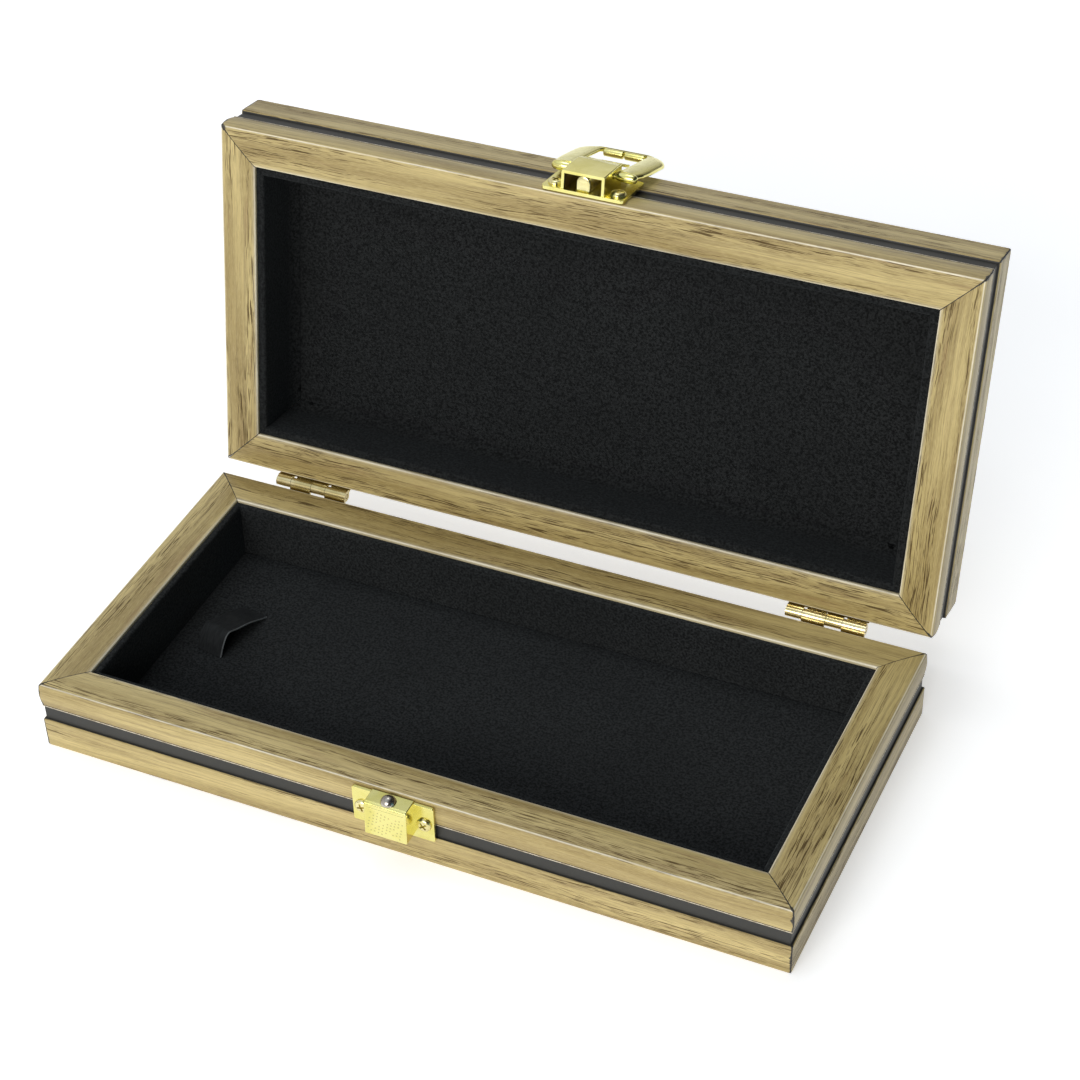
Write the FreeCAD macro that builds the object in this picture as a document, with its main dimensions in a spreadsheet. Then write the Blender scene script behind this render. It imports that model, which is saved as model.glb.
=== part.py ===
import FreeCAD, Part
import Sketcher
import math
import os

# Poker chip case: two shallow trays of wrapped wood moulding, joined by two
# four-knuckle butt hinges at the back and held shut by a swinging loop latch
# at the front.  Both trays are lined with felt-covered boards.
#
# Frame: origin at the centre of the base's underside, +X along the length,
# +Y towards the hinges, +Z up, millimetres.  The case is modelled with its
# lid standing open on the hinges' stops.

V = FreeCAD.Vector
doc = FreeCAD.newDocument("PokerChipCase")

# ------------------------------------------------------------ driving sizes
sheet = doc.addObject("Spreadsheet::Sheet", "Dims")
SIZES = [
    ("case_length", 250.0, "outside length of the moulding frame"),
    ("case_width", 120.0, "outside width of the moulding frame"),
    ("rail_width", 12.5, "moulding width, outer face to inner face"),
    ("rim_height", 24.9, "height of the rim at its inner edge"),
    ("axis_height", 25.68, "height of the hinge axis, half the closed height"),
    ("axis_offset", 2.1, "hinge axis behind the frame's back face"),
    ("open_angle", 100.0, "lid opening angle on the hinge stops"),
    ("mitre_gap", 0.04, "hairline gap on each side of a mitre"),
    ("panel_thick", 3.0, "thickness of the bottom and top panels"),
    ("rebate_land", 6.5, "moulding left outside the panel rebate"),
    ("groove_depth", 0.95, "depth of the decorative groove"),
    ("groove_low", 11.1, "lower edge of the groove"),
    ("groove_high", 16.3, "upper edge of the groove"),
    ("liner_thick", 2.0, "felt-covered liner board in the base"),
    ("liner_top", 24.0, "height of the liner's top edge"),
    ("lid_liner_thick", 2.8, "felt-covered liner board in the lid"),
    ("lid_liner_foot", 5.3, "width of the coved foot of the lid liner"),
    ("board_thick", 1.2, "lift-out floor board"),
    ("felt_thick", 0.5, "felt facing"),
    ("board_play", 0.3, "play round the lift-out floor board"),
    ("lid_board_thick", 0.9, "board behind the lid's felt"),
    ("ribbon_width", 10.0, "width of the ribbon tab"),
    ("ribbon_thick", 0.6, "thickness of the doubled ribbon"),
    ("ribbon_x", -95.8, "centre of the ribbon's front end"),
    ("ribbon_y", -6.0, "front end of the ribbon"),
    ("ribbon_turn", -9.8, "heading of the ribbon, from +Y"),
    ("hinge_left_x", -91.2, "centre of the left hinge"),
    ("hinge_right_x", 91.0, "centre of the right hinge"),
    ("knuckle_lid", 5.4, "length of a lid knuckle"),
    ("knuckle_base", 7.7, "length of a base knuckle"),
    ("knuckle_gap", 0.12, "gap between knuckles"),
    ("barrel_radius", 1.8, "outside radius of the hinge barrel"),
    ("hinge_pin_radius", 0.80, "radius of the hinge pin"),
    ("hinge_play", 0.03, "radial clearance of the hinge pin"),
    ("leaf_thick", 0.8, "sheet thickness of the hinge leaves"),
    ("leaf_height", 9.2, "leaf height from the axis"),
    ("leaf_screw_drop", 5.7, "hinge screws below the axis"),
    ("leaf_screw_half", 8.2, "half the hinge screw spacing"),
    ("small_shank", 0.9, "radius of a hinge screw's shank"),
    ("small_head", 1.75, "radius of a hinge screw's head"),
    ("small_length", 7.5, "length of a hinge screw"),
    ("plate_half", 13.5, "half the width of the latch plates"),
    ("plate_thick", 1.0, "sheet thickness of the latch plates"),
    ("catch_low", 10.7, "lower edge of the catch plate"),
    ("catch_high", 24.0, "upper edge of the catch plate"),
    ("hood_half", 7.0, "half the width of the catch hood and the housing"),
    ("hood_wall", 0.9, "sheet thickness of the hood and the housing"),
    ("hood_low", 12.4, "lower edge of the catch hood"),
    ("hood_high", 24.5, "top face of the catch hood"),
    ("hood_reach", 6.2, "front of the hood from the frame's front face"),
    ("hood_flare", 0.5, "outward lean of the hood's lower edge"),
    ("catch_screw_x", 10.3, "half the catch screw spacing"),
    ("catch_screw_z", 17.0, "height of the catch screws"),
    ("big_shank", 1.2, "radius of a latch screw's shank"),
    ("big_head", 2.4, "radius of a latch screw's head"),
    ("big_length", 9.0, "length of a latch screw's shank"),
    ("dome_radius", 2.5, "radius of the rivet dome"),
    ("dome_rise", 2.0, "height of the rivet dome"),
    ("dome_reach", 3.3, "rivet centre from the frame's front face"),
    ("lidplate_low", 26.1, "lower edge of the lid plate, lid closed"),
    ("lidplate_high", 43.4, "upper edge of the lid plate, lid closed"),
    ("housing_low", 26.4, "open end of the housing, lid closed"),
    ("housing_high", 40.5, "back of the housing walls, lid closed"),
    ("housing_reach", 7.0, "housing roof from the frame's front face"),
    ("tail_high", 46.5, "end of the housing roof's tail, lid closed"),
    ("tail_reach", 4.3, "tail end from the frame's front face"),
    ("lid_screw_x", 10.2, "half the lid plate screw spacing"),
    ("lid_screw_z", 30.2, "height of the lid plate screws, lid closed"),
    ("pivot_z", 35.5, "height of the loop's pivot, lid closed"),
    ("pivot_reach", 4.5, "loop pivot from the frame's front face"),
    ("pivot_pin_radius", 0.75, "radius of the loop's pivot pin"),
    ("pivot_play", 0.04, "radial clearance of the pivot pin"),
    ("eye_radius", 1.6, "outside radius of the loop's rolled eyes"),
    ("eye_in", 7.15, "inner end of the loop's eyes"),
    ("eye_out", 13.4, "outer end of the loop's eyes"),
    ("loop_thick", 1.2, "thickness of the loop"),
    ("loop_length", 26.7, "pivot to the loop's far edge"),
    ("loop_half", 14.8, "half the loop's greatest width"),
    ("window_half", 7.6, "half the width of the loop's window"),
    ("window_far", 23.45, "pivot to the window's far edge"),
    ("loop_droop", 8.0, "loop leaning in past parallel when swung back"),
]
for row, (alias, value, note) in enumerate(SIZES, start=1):
    sheet.set("A%d" % row, note)
    sheet.set("B%d" % row, repr(value))
    sheet.setAlias("B%d" % row, alias)
doc.recompute()


class Size:
    """A number together with the expression that gives it from the sheet."""

    def __init__(self, text, num):
        self.text, self.num = text, float(num)

    def _with(self, other, sign, left, right):
        o = other if isinstance(other, Size) else Size(repr(float(other)), other)
        a, b = (self, o) if left else (o, self)
        num = {"+": a.num + b.num, "-": a.num - b.num, "*": a.num * b.num,
               "/": a.num / b.num if sign == "/" else 0.0}[sign]
        return Size("(%s %s %s)" % (a.text, sign, b.text), num)

    def __add__(self, o): return self._with(o, "+", True, False)
    def __radd__(self, o): return self._with(o, "+", False, True)
    def __sub__(self, o): return self._with(o, "-", True, False)
    def __rsub__(self, o): return self._with(o, "-", False, True)
    def __mul__(self, o): return self._with(o, "*", True, False)
    def __rmul__(self, o): return self._with(o, "*", False, True)
    def __truediv__(self, o): return self._with(o, "/", True, False)
    def __neg__(self): return Size("(0 - %s)" % self.text, -self.num)


class Cells:
    pass


S = Cells()
for alias, _v, _n in SIZES:
    setattr(S, alias, Size("Dims." + alias, float(sheet.get(alias))))


def num(q):
    return q.num if isinstance(q, Size) else float(q)


def bind(obj, prop, q):
    """Give a property its value, through the sheet where it is a Size."""
    if isinstance(q, Size):
        obj.setExpression(prop, q.text)
    else:
        setattr(obj, prop, q)


# ------------------------------------------------------------ building tools
def new_body(label):
    b = doc.addObject("PartDesign::Body", label)
    b.Label = label
    return b


def sketch_on(body, name, role, offset=None):
    sk = body.newObject("Sketcher::SketchObject", name)
    plane = [f for f in body.Origin.OriginFeatures if f.Role == role][0]
    sk.AttachmentSupport = [(plane, "")]
    sk.MapMode = "FlatFace"
    if offset is not None:
        sk.AttachmentOffset = FreeCAD.Placement(V(*offset), FreeCAD.Rotation())
    return sk


def pin_point(sk, geo, pos, x, y, tag):
    """Hold one sketch point at a place given by sizes."""
    for kind, axis, q in (("DistanceX", "x", x), ("DistanceY", "y", y)):
        i = sk.addConstraint(dimension(kind, geo, pos, num(q)))
        if isinstance(q, Size):
            cname = "%s_%s" % (tag, axis)
            sk.renameConstraint(i, cname)
            sk.setExpression("Constraints." + cname, q.text)


def dimension(kind, geo, pos, value):
    return Sketcher.Constraint(kind, -1, 1, geo, pos, value)


def ccw_arc(a, m, b):
    """Arc from a through m to b, stored anticlockwise; True where that turned
    its ends round."""
    d = 2 * (a.x * (m.y - b.y) + m.x * (b.y - a.y) + b.x * (a.y - m.y))
    qa, qm, qb = (p.x * p.x + p.y * p.y for p in (a, m, b))
    c = V((qa * (m.y - b.y) + qm * (b.y - a.y) + qb * (a.y - m.y)) / d,
          (qa * (b.x - m.x) + qm * (a.x - b.x) + qb * (m.x - a.x)) / d, 0)
    r = (a - c).Length
    flipped = (m.x - a.x) * (b.y - a.y) - (m.y - a.y) * (b.x - a.x) < 0
    p, q = (b, a) if flipped else (a, b)
    t0 = math.atan2(p.y - c.y, p.x - c.x)
    t1 = math.atan2(q.y - c.y, q.x - c.x)
    if t1 <= t0:
        t1 += 2 * math.pi
    return Part.ArcOfCircle(Part.Circle(c, V(0, 0, 1), r), t0, t1), flipped


def outline(sk, points, arcs=None, tag="p"):
    """Close a loop through the points; arcs maps an edge's index to a point
    on that edge's arc."""
    arcs = arcs or {}
    ids = []
    n = len(points)
    for i in range(n):
        a = V(num(points[i][0]), num(points[i][1]), 0)
        b = V(num(points[(i + 1) % n][0]), num(points[(i + 1) % n][1]), 0)
        if i in arcs:
            arc, flipped = ccw_arc(a, V(num(arcs[i][0]), num(arcs[i][1]), 0), b)
            g = sk.addGeometry(arc)
            ids.append((g, (2, 1) if flipped else (1, 2)))
        else:
            g = sk.addGeometry(Part.LineSegment(a, b))
            ids.append((g, (1, 2)))
    for i in range(n):
        g1, (_s1, e1) = ids[i]
        g2, (s2, _e2) = ids[(i + 1) % n]
        sk.addConstraint(Sketcher.Constraint("Coincident", g1, e1, g2, s2))
    for i in range(n):
        g, (s, _e) = ids[i]
        pin_point(sk, g, s, points[i][0], points[i][1], "%s%d" % (tag, i))
    return ids


def rect(sk, x0, x1, y0, y1, tag="r"):
    return outline(sk, [(x0, y0), (x1, y0), (x1, y1), (x0, y1)], tag=tag)


def circle(sk, x, y, r, tag="c"):
    g = sk.addGeometry(Part.Circle(V(num(x), num(y), 0), V(0, 0, 1), num(r)))
    pin_point(sk, g, 3, x, y, tag)
    i = sk.addConstraint(Sketcher.Constraint("Radius", g, num(r)))
    if isinstance(r, Size):
        sk.renameConstraint(i, tag + "_rad")
        sk.setExpression("Constraints.%s_rad" % tag, r.text)
    return g


def pad(body, sk, length, name, symmetric=False, reverse=False):
    f = body.newObject("PartDesign::Pad", name)
    f.Profile = sk
    bind(f, "Length", length)
    if symmetric:
        f.SideType = "Symmetric"
    f.Reversed = reverse
    sk.Visibility = False
    return f


def pocket(body, sk, length, name, symmetric=True, reverse=False, taper=None):
    """Cut, and make sure that the cut took something away."""
    doc.recompute()
    before = body.Shape.Volume
    f = body.newObject("PartDesign::Pocket", name)
    f.Profile = sk
    bind(f, "Length", length)
    if taper is not None:
        f.TaperAngle = taper
    if symmetric:
        f.SideType = "Symmetric"
    f.Reversed = reverse
    doc.recompute()
    if not body.Shape.Volume < before - 1e-3:
        raise RuntimeError("%s in %s cut nothing" % (name, body.Label))
    return f


def edges_where(shape, test):
    names = []
    for i, e in enumerate(shape.Edges, start=1):
        m = e.valueAt((e.FirstParameter + e.LastParameter) / 2)
        a, b = e.valueAt(e.FirstParameter), e.valueAt(e.LastParameter)
        if test(m, a, b):
            names.append("Edge%d" % i)
    return names


def fillet(body, radius, test, name):
    doc.recompute()
    tip = body.Tip
    names = edges_where(tip.Shape, test)
    if not names:
        raise RuntimeError("no edge for %s in %s" % (name, body.Label))
    f = body.newObject("PartDesign::Fillet", name)
    f.Base = (tip, names)
    bind(f, "Radius", radius)
    doc.recompute()
    return f


def turn(axis, deg, at=(0, 0, 0)):
    return FreeCAD.Placement(V(0, 0, 0), FreeCAD.Rotation(V(*axis), deg), V(*at))


def shift(x, y, z):
    return FreeCAD.Placement(V(x, y, z), FreeCAD.Rotation())


L2 = S.case_length / 2
W2 = S.case_width / 2
AX_Y = num(W2 + S.axis_offset)
AX_Z = num(S.axis_height)

# The lid is drawn shut and then swung open about the hinge axis.
OPEN = turn((1, 0, 0), -num(S.open_angle), (0, AX_Y, AX_Z))
# A lid piece is its base counterpart turned upside down about the X line
# through the hinge axis height, so the two trays meet rim to rim.
FLIP = shift(0, 0, 2 * AX_Z).multiply(turn((1, 0, 0), 180))

# Each side's own frame: x along the rail, y inward from the frame's outermost
# plane, z up.
SIDES = {
    "front": (shift(0, -num(W2), 0), S.case_length),
    "back": (shift(0, num(W2), 0).multiply(turn((0, 0, 1), 180)), S.case_length),
    "left": (shift(-num(L2), 0, 0).multiply(turn((0, 0, 1), -90)), S.case_width),
    "right": (shift(num(L2), 0, 0).multiply(turn((0, 0, 1), 90)), S.case_width),
}
# Upside down, the front and back sides change places.
FLIPPED = {"front": "back", "back": "front", "left": "left", "right": "right"}

parts = []


def keep(obj):
    parts.append(obj)
    return obj


# ------------------------------------------------------------ moulding rails
def moulding_section(sk):
    """Wrapped moulding: eased foot, flat lower band, square groove, upper band
    that turns over a crisp crest into a slightly crowned rim, rebate for the
    panel at the inner foot."""
    w, gd = S.rail_width, S.groove_depth
    low, high = S.groove_low, S.groove_high
    pts = [
        (0.40, 0.0),                                   # 0 foot
        (0.1, 0.9),                                    # 1 lower band
        (0.1, low - 0.55),                             # 2
        (0.45, low - 0.05),                            # 3 rolled edge
        (gd, low),                                     # 4 groove floor
        (gd, high),                                    # 5
        (0.78, high + 0.1),                            # 6 cut edge of the wrap
        (0.1, 21.0),                                   # 7 belly of upper band
        (0.42, 24.5),                                  # 8 start of the crest
        (1.1, 25.15),                                  # 9 crest
        (w - 0.55, S.rim_height + 0.06),               # 10 rim
        (w, S.rim_height - 0.5),                       # 11 eased inner edge
        (w, S.panel_thick),                            # 12
        (S.rebate_land, S.panel_thick),                # 13
        (S.rebate_land, 0.0),                          # 14
    ]
    arcs = {0: (0.18, 0.28), 2: (0.20, num(low) - 0.20), 6: (0.266, 18.7), 7: (0.18, 22.75),
            8: (0.60, 24.93), 9: (6.5, 25.40), 10: (12.36, 24.80)}
    outline(sk, pts, arcs, "m")


def mitre_ends(body, length, width, name="MitreCut"):
    sk = sketch_on(body, name + "Sketch", "XY_Plane")
    g = S.mitre_gap * 1.4142
    half = length / 2
    for sgn, tag in ((-1, "a"), (1, "b")):
        pts = [((half + 1 - g) * sgn, -1.0), ((half + 1 - g) * sgn, width + 1),
               ((half - width - 1 - g) * sgn, width + 1)]
        outline(sk, pts, None, tag)
    pocket(body, sk, 120.0, name)


def rail(label, side, lid=False, pilots=()):
    """pilots: (x along the rail, z, radius, depth) of screw pilot holes."""
    place, length = SIDES[FLIPPED[side] if lid else side]
    b = new_body(label)
    sk = sketch_on(b, "Section", "YZ_Plane")
    moulding_section(sk)
    pad(b, sk, length, "Rail", symmetric=True)
    mitre_ends(b, length, S.rail_width)
    if pilots:
        hs = sketch_on(b, "PilotSketch", "XZ_Plane")
        for i, (x, z, r) in enumerate(pilots):
            circle(hs, x, z, r, "h%d" % i)
        pocket(b, hs, 2 * pilots_depth(pilots), "Pilots")
    b.Placement = OPEN.multiply(FLIP).multiply(place) if lid else place
    return keep(b)


def pilots_depth(pilots):
    return S.small_length + 0.4 if abs(num(pilots[0][2]) - num(S.small_shank)) < 0.1 \
        else S.big_length - 0.4


hinge_xs = (S.hinge_left_x, S.hinge_right_x)
small_bore = S.small_shank + 0.01
big_bore = S.big_shank + 0.01

base_front_pilots = [(S.catch_screw_x * sgn, S.catch_screw_z, big_bore) for sgn in (-1, 1)]
# seen from the back rail's own frame, x is reversed
base_back_pilots = [(-(hx + S.leaf_screw_half * sgn), S.axis_height - S.leaf_screw_drop,
                     small_bore) for hx in hinge_xs for sgn in (-1, 1)]
# Lid rails are upside down, so heights are measured from the lid's top.  Turning
# the back side's frame over gives the lid's front rail, whose x is reversed.
lid_front_pilots = [(-(S.lid_screw_x * sgn), 2 * S.axis_height - S.lid_screw_z, big_bore)
                    for sgn in (-1, 1)]
lid_back_pilots = [(hx + S.leaf_screw_half * sgn, S.axis_height - S.leaf_screw_drop,
                    small_bore) for hx in hinge_xs for sgn in (-1, 1)]

rail("base_rail_front", "front", pilots=base_front_pilots)
rail("base_rail_back", "back", pilots=base_back_pilots)
rail("base_rail_left", "left")
rail("base_rail_right", "right")
rail("lid_rail_front", "front", lid=True, pilots=lid_front_pilots)
rail("lid_rail_back", "back", lid=True, pilots=lid_back_pilots)
rail("lid_rail_left", "left", lid=True)
rail("lid_rail_right", "right", lid=True)


# ------------------------------------------------------------ panels, boards
def board(label, half_x, half_y, z0, z1, place=None, corner=None):
    b = new_body(label)
    sk = sketch_on(b, "Outline", "XY_Plane", (0, 0, num(z0)))
    rect(sk, -half_x, half_x, -half_y, half_y)
    pad(b, sk, z1 - z0, "Board")
    if corner:
        hx, hy = num(half_x), num(half_y)
        fillet(b, corner, lambda m, a, c: abs(abs(m.x) - hx) < 1e-3
               and abs(abs(m.y) - hy) < 1e-3, "Corners")
    if place is not None:
        b.Placement = place
    return keep(b)


LID = OPEN.multiply(FLIP)
ZERO = Size("0", 0.0)
panel_x = L2 - S.rebate_land - 0.05
panel_y = W2 - S.rebate_land - 0.05
board("base_bottom_panel", panel_x, panel_y, ZERO, S.panel_thick - 0.02)
board("lid_top_panel", panel_x, panel_y, ZERO, S.panel_thick - 0.02, LID)

well_x = L2 - S.rail_width - S.liner_thick - S.board_play
well_y = W2 - S.rail_width - S.liner_thick - S.board_play
felt_low = S.panel_thick + S.board_thick
floor_top = felt_low + S.felt_thick
board("floor_board", well_x, well_y, S.panel_thick, felt_low, corner=1.0)
board("floor_felt", well_x, well_y, felt_low, floor_top, corner=1.0)

lid_x = L2 - S.rail_width - S.lid_liner_foot - 0.05
lid_y = W2 - S.rail_width - S.lid_liner_foot - 0.05
lid_felt = S.panel_thick + S.lid_board_thick
board("lid_panel_board", lid_x, lid_y, S.panel_thick, lid_felt, LID)
board("lid_panel_felt", lid_x, lid_y, lid_felt, lid_felt + S.felt_thick, LID)


# ------------------------------------------------------------ felt liners
def liner(label, side, lid=False):
    """Felt-covered board standing against a rail, its top edge rounded by the
    wrapped felt; the lid's boards spread into a coved foot."""
    place, length = SIDES[FLIPPED[side] if lid else side]
    b = new_body(label)
    sk = sketch_on(b, "Section", "YZ_Plane")
    y0 = S.rail_width + 0.01
    if lid:
        y1, y2 = S.rail_width + S.lid_liner_thick, S.rail_width + S.lid_liner_foot
        pts = [(y0, S.panel_thick), (y0, S.liner_top), (y1 - 0.7, S.liner_top),
               (y1, S.liner_top - 0.7), (y1, 9.0), (y2, 4.6), (y2, S.panel_thick)]
        arcs = {2: (num(y1) - 0.205, num(S.liner_top) - 0.205),
                4: (num(y1) + 0.62, 6.35)}
        width = S.rail_width + S.lid_liner_foot
    else:
        y1 = S.rail_width + S.liner_thick
        pts = [(y0, S.panel_thick), (y0, S.liner_top), (y1 - 0.7, S.liner_top),
               (y1, S.liner_top - 0.7), (y1, S.panel_thick)]
        arcs = {2: (num(y1) - 0.205, num(S.liner_top) - 0.205)}
        width = y1
    outline(sk, pts, arcs, "n")
    pad(b, sk, length, "Board", symmetric=True)
    mitre_ends(b, length, width)
    b.Placement = OPEN.multiply(FLIP).multiply(place) if lid else place
    return keep(b)


for side in ("front", "back", "left", "right"):
    liner("base_liner_" + side, side)
for side in ("front", "back", "left", "right"):
    liner("lid_liner_" + side, side, lid=True)


# ------------------------------------------------------------ ribbon tab
# A folded ribbon that arches over the floor felt: up steeply at the front,
# over a tight bend, then down in a long slope.  Local frame: y along the
# ribbon, z up from the felt.
def ribbon():
    b = new_body("ribbon_pull")
    sk = sketch_on(b, "Strip", "YZ_Plane")
    t = num(S.ribbon_thick)
    # centre line: straight, arc, straight
    p0, p1, p2 = (0.3, 0.0), (5.0, 7.6), (24.6, 0.0)
    r = 2.6
    u = (p1[0] - p0[0], p1[1] - p0[1])
    w = (p2[0] - p1[0], p2[1] - p1[1])
    lu, lw = math.hypot(*u), math.hypot(*w)
    u = (u[0] / lu, u[1] / lu)
    w = (w[0] / lw, w[1] / lw)
    ang = math.acos(u[0] * w[0] + u[1] * w[1])
    cut = r * math.tan(ang / 2)
    a = (p1[0] - u[0] * cut, p1[1] - u[1] * cut)
    c = (p1[0] + w[0] * cut, p1[1] + w[1] * cut)
    cen = (a[0] + u[1] * r, a[1] - u[0] * r)
    mid = ((a[0] + c[0]) / 2 - cen[0], (a[1] + c[1]) / 2 - cen[1])
    lm = math.hypot(*mid)
    mid = (mid[0] / lm, mid[1] / lm)

    def off(p, d, k):        # step k to the left of direction d
        return (p[0] - d[1] * k, p[1] + d[0] * k)

    h = t / 2

    def foot(p, d, k):       # where the offset line meets z = 0
        q = off(p, d, k)
        s = -q[1] / d[1]
        return (q[0] + d[0] * s, 0.0)

    pts = [foot(p0, u, h), off(a, u, h), off(c, w, h), foot(p2, w, h),
           foot(p2, w, -h), off(c, w, -h), off(a, u, -h), foot(p0, u, -h)]
    arcs = {1: (cen[0] + mid[0] * (r + h), cen[1] + mid[1] * (r + h)),
            5: (cen[0] + mid[0] * (r - h), cen[1] + mid[1] * (r - h))}
    outline(sk, pts, arcs, "q")
    pad(b, sk, S.ribbon_width, "Ribbon", symmetric=True)
    b.Placement = shift(num(S.ribbon_x), num(S.ribbon_y), num(floor_top)).multiply(
        turn((0, 0, 1), num(S.ribbon_turn)))
    return keep(b)


ribbon()


# ------------------------------------------------------------ hinges
# Local frame of a hinge: x along the pin from the hinge's left end, y and z
# from the pin's axis, wood at y < -axis_offset.
def knuckle_spans():
    spans, x = [], 0.0 * S.knuckle_lid
    for kind in ("lid", "base", "lid", "base"):
        wid = S.knuckle_lid if kind == "lid" else S.knuckle_base
        spans.append((kind, x, x + wid))
        x = x + wid
    return spans, x


SPANS, HINGE_LEN = knuckle_spans()


def leaf(label, kind, hinge_x):
    """Leaf lying on the rail's outer face, its knuckles rolled round the pin.
    It is drawn hanging down from the axis; the lid's leaf is turned over.  The
    base's knuckles carry the lips that stop the lid."""
    b = new_body(label)
    up = 1 if kind == "lid" else -1
    mine = [(x0 + S.knuckle_gap / 2, x1 - S.knuckle_gap / 2)
            for k, x0, x1 in SPANS if k == kind]
    # knuckles
    x_start = mine[0][0]
    sk = sketch_on(b, "Barrel", "YZ_Plane")
    circle(sk, 0.0, 0.0, S.barrel_radius, "b")
    pad(b, sk, mine[-1][1], "BarrelPad")
    # shank of the leaf, from the axis down the wood
    yw = -S.axis_offset
    sk = sketch_on(b, "Shank", "YZ_Plane")
    pts = [(yw, 0.0), (yw + S.leaf_thick + 0.35, 0.0),
           (yw + S.leaf_thick, 1.3 * up), (yw + S.leaf_thick, S.leaf_height * up),
           (yw, S.leaf_height * up)]
    outline(sk, pts, None, "k")
    pad(b, sk, HINGE_LEN, "ShankPad")
    # clear the other leaf's knuckles, and the ends
    clear = S.barrel_radius + 0.35
    sk = sketch_on(b, "Gaps", "XZ_Plane")
    others = [(x0, x1) for k, x0, x1 in SPANS if k != kind]
    n = 0
    for x0, x1 in others:
        lo = x0 - S.knuckle_gap / 2
        hi = x1 + S.knuckle_gap / 2
        if num(lo) < 0.1:
            lo = lo - 1
        if num(hi) > num(HINGE_LEN) - 0.1:
            hi = hi + 1
        rect(sk, lo, hi, -clear, clear, "g%d" % n)
        n += 1
    pocket(b, sk, 20.0, "KnuckleGaps")
    # pin bore
    sk = sketch_on(b, "Bore", "YZ_Plane")
    circle(sk, 0.0, 0.0, S.hinge_pin_radius + S.hinge_play, "o")
    pocket(b, sk, 80.0, "PinBore")
    # screw holes with countersinks
    for i, sgn in enumerate((-1, 1)):
        sx, sz = HINGE_LEN / 2 + S.leaf_screw_half * sgn, S.leaf_screw_drop * up
        sk = sketch_on(b, "ScrewSketch%d" % i, "XZ_Plane")
        circle(sk, sx, sz, S.small_shank + 0.1, "s")
        pocket(b, sk, 20.0, "ScrewHole%d" % i)
        # cone: head radius and a little play at the leaf's outer face, 45 degrees
        sk = sketch_on(b, "SinkSketch%d" % i, "XZ_Plane",
                       (0, 0, num(S.axis_offset - S.leaf_thick)))
        circle(sk, sx, sz, S.small_head + 0.06, "c")
        pocket(b, sk, S.leaf_thick, "Sink%d" % i, symmetric=False, reverse=True, taper=-45.0)
    doc.recompute()
    hx, hz = num(HINGE_LEN), num(S.leaf_height)
    fillet(b, 0.8, lambda m, a, c: abs(abs(m.z) - hz) < 1e-3
           and (abs(m.x) < 0.1 or abs(m.x - hx) < 0.1)
           and abs(a.y - c.y) > 0.3, "LeafCorners")
    if kind == "base":
        # stop lips: the lid leaf comes down on them at the opening angle
        sk = sketch_on(b, "Lip", "YZ_Plane")
        th = math.radians(num(S.open_angle) - 90)
        # the lid leaf's outer face, lid open: z falls by tan(th) per mm of y
        face0 = (num(S.axis_offset) - num(S.leaf_thick)) / math.cos(th)

        def under(y, gap):
            return face0 - y * math.tan(th) - gap
        gap = 0.03 / math.cos(th)
        y_in, y_out = 0.9, 3.75
        pts = [(y_in, -0.9), (y_in, under(y_in, 0.25)), (2.0, under(2.0, 0.2)),
               (2.4, under(2.4, gap)), (y_out, under(y_out, gap)),
               (y_out, under(y_out, 0.8)), (2.3, -0.9)]
        for i, (x0, x1) in enumerate(mine):
            sk = sketch_on(b, "Lip%d" % i, "YZ_Plane", (0, 0, num(x0) + 0.6))
            outline(sk, pts, None, "l")
            pad(b, sk, x1 - x0 - 1.2, "LipPad%d" % i)
    x_left = num(hinge_x) - num(HINGE_LEN) / 2
    place = shift(x_left, AX_Y, AX_Z)
    b.Placement = OPEN.multiply(place) if kind == "lid" else place
    return keep(b)


for side, hx in (("left", S.hinge_left_x), ("right", S.hinge_right_x)):
    leaf("hinge_%s_base_leaf" % side, "base", hx)
    leaf("hinge_%s_lid_leaf" % side, "lid", hx)


def round_pin(label, radius, half, place, end=0.2):
    """Plain pin along x with eased ends."""
    b = new_body(label)
    sk = sketch_on(b, "Half", "XZ_Plane")
    outline(sk, [(-half, 0.0), (-half, radius - end), (-half + end, radius),
                 (half - end, radius), (half, radius - end), (half, 0.0)], None, "v")
    f = b.newObject("PartDesign::Revolution", "Turned")
    f.Profile = sk
    f.ReferenceAxis = (sk, ["H_Axis"])
    f.Angle = 360.0
    b.Placement = place
    return keep(b)


for side, hx in (("left", S.hinge_left_x), ("right", S.hinge_right_x)):
    round_pin("hinge_%s_pin" % side, S.hinge_pin_radius, HINGE_LEN / 2 - 0.1,
              shift(num(hx), AX_Y, AX_Z))


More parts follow.
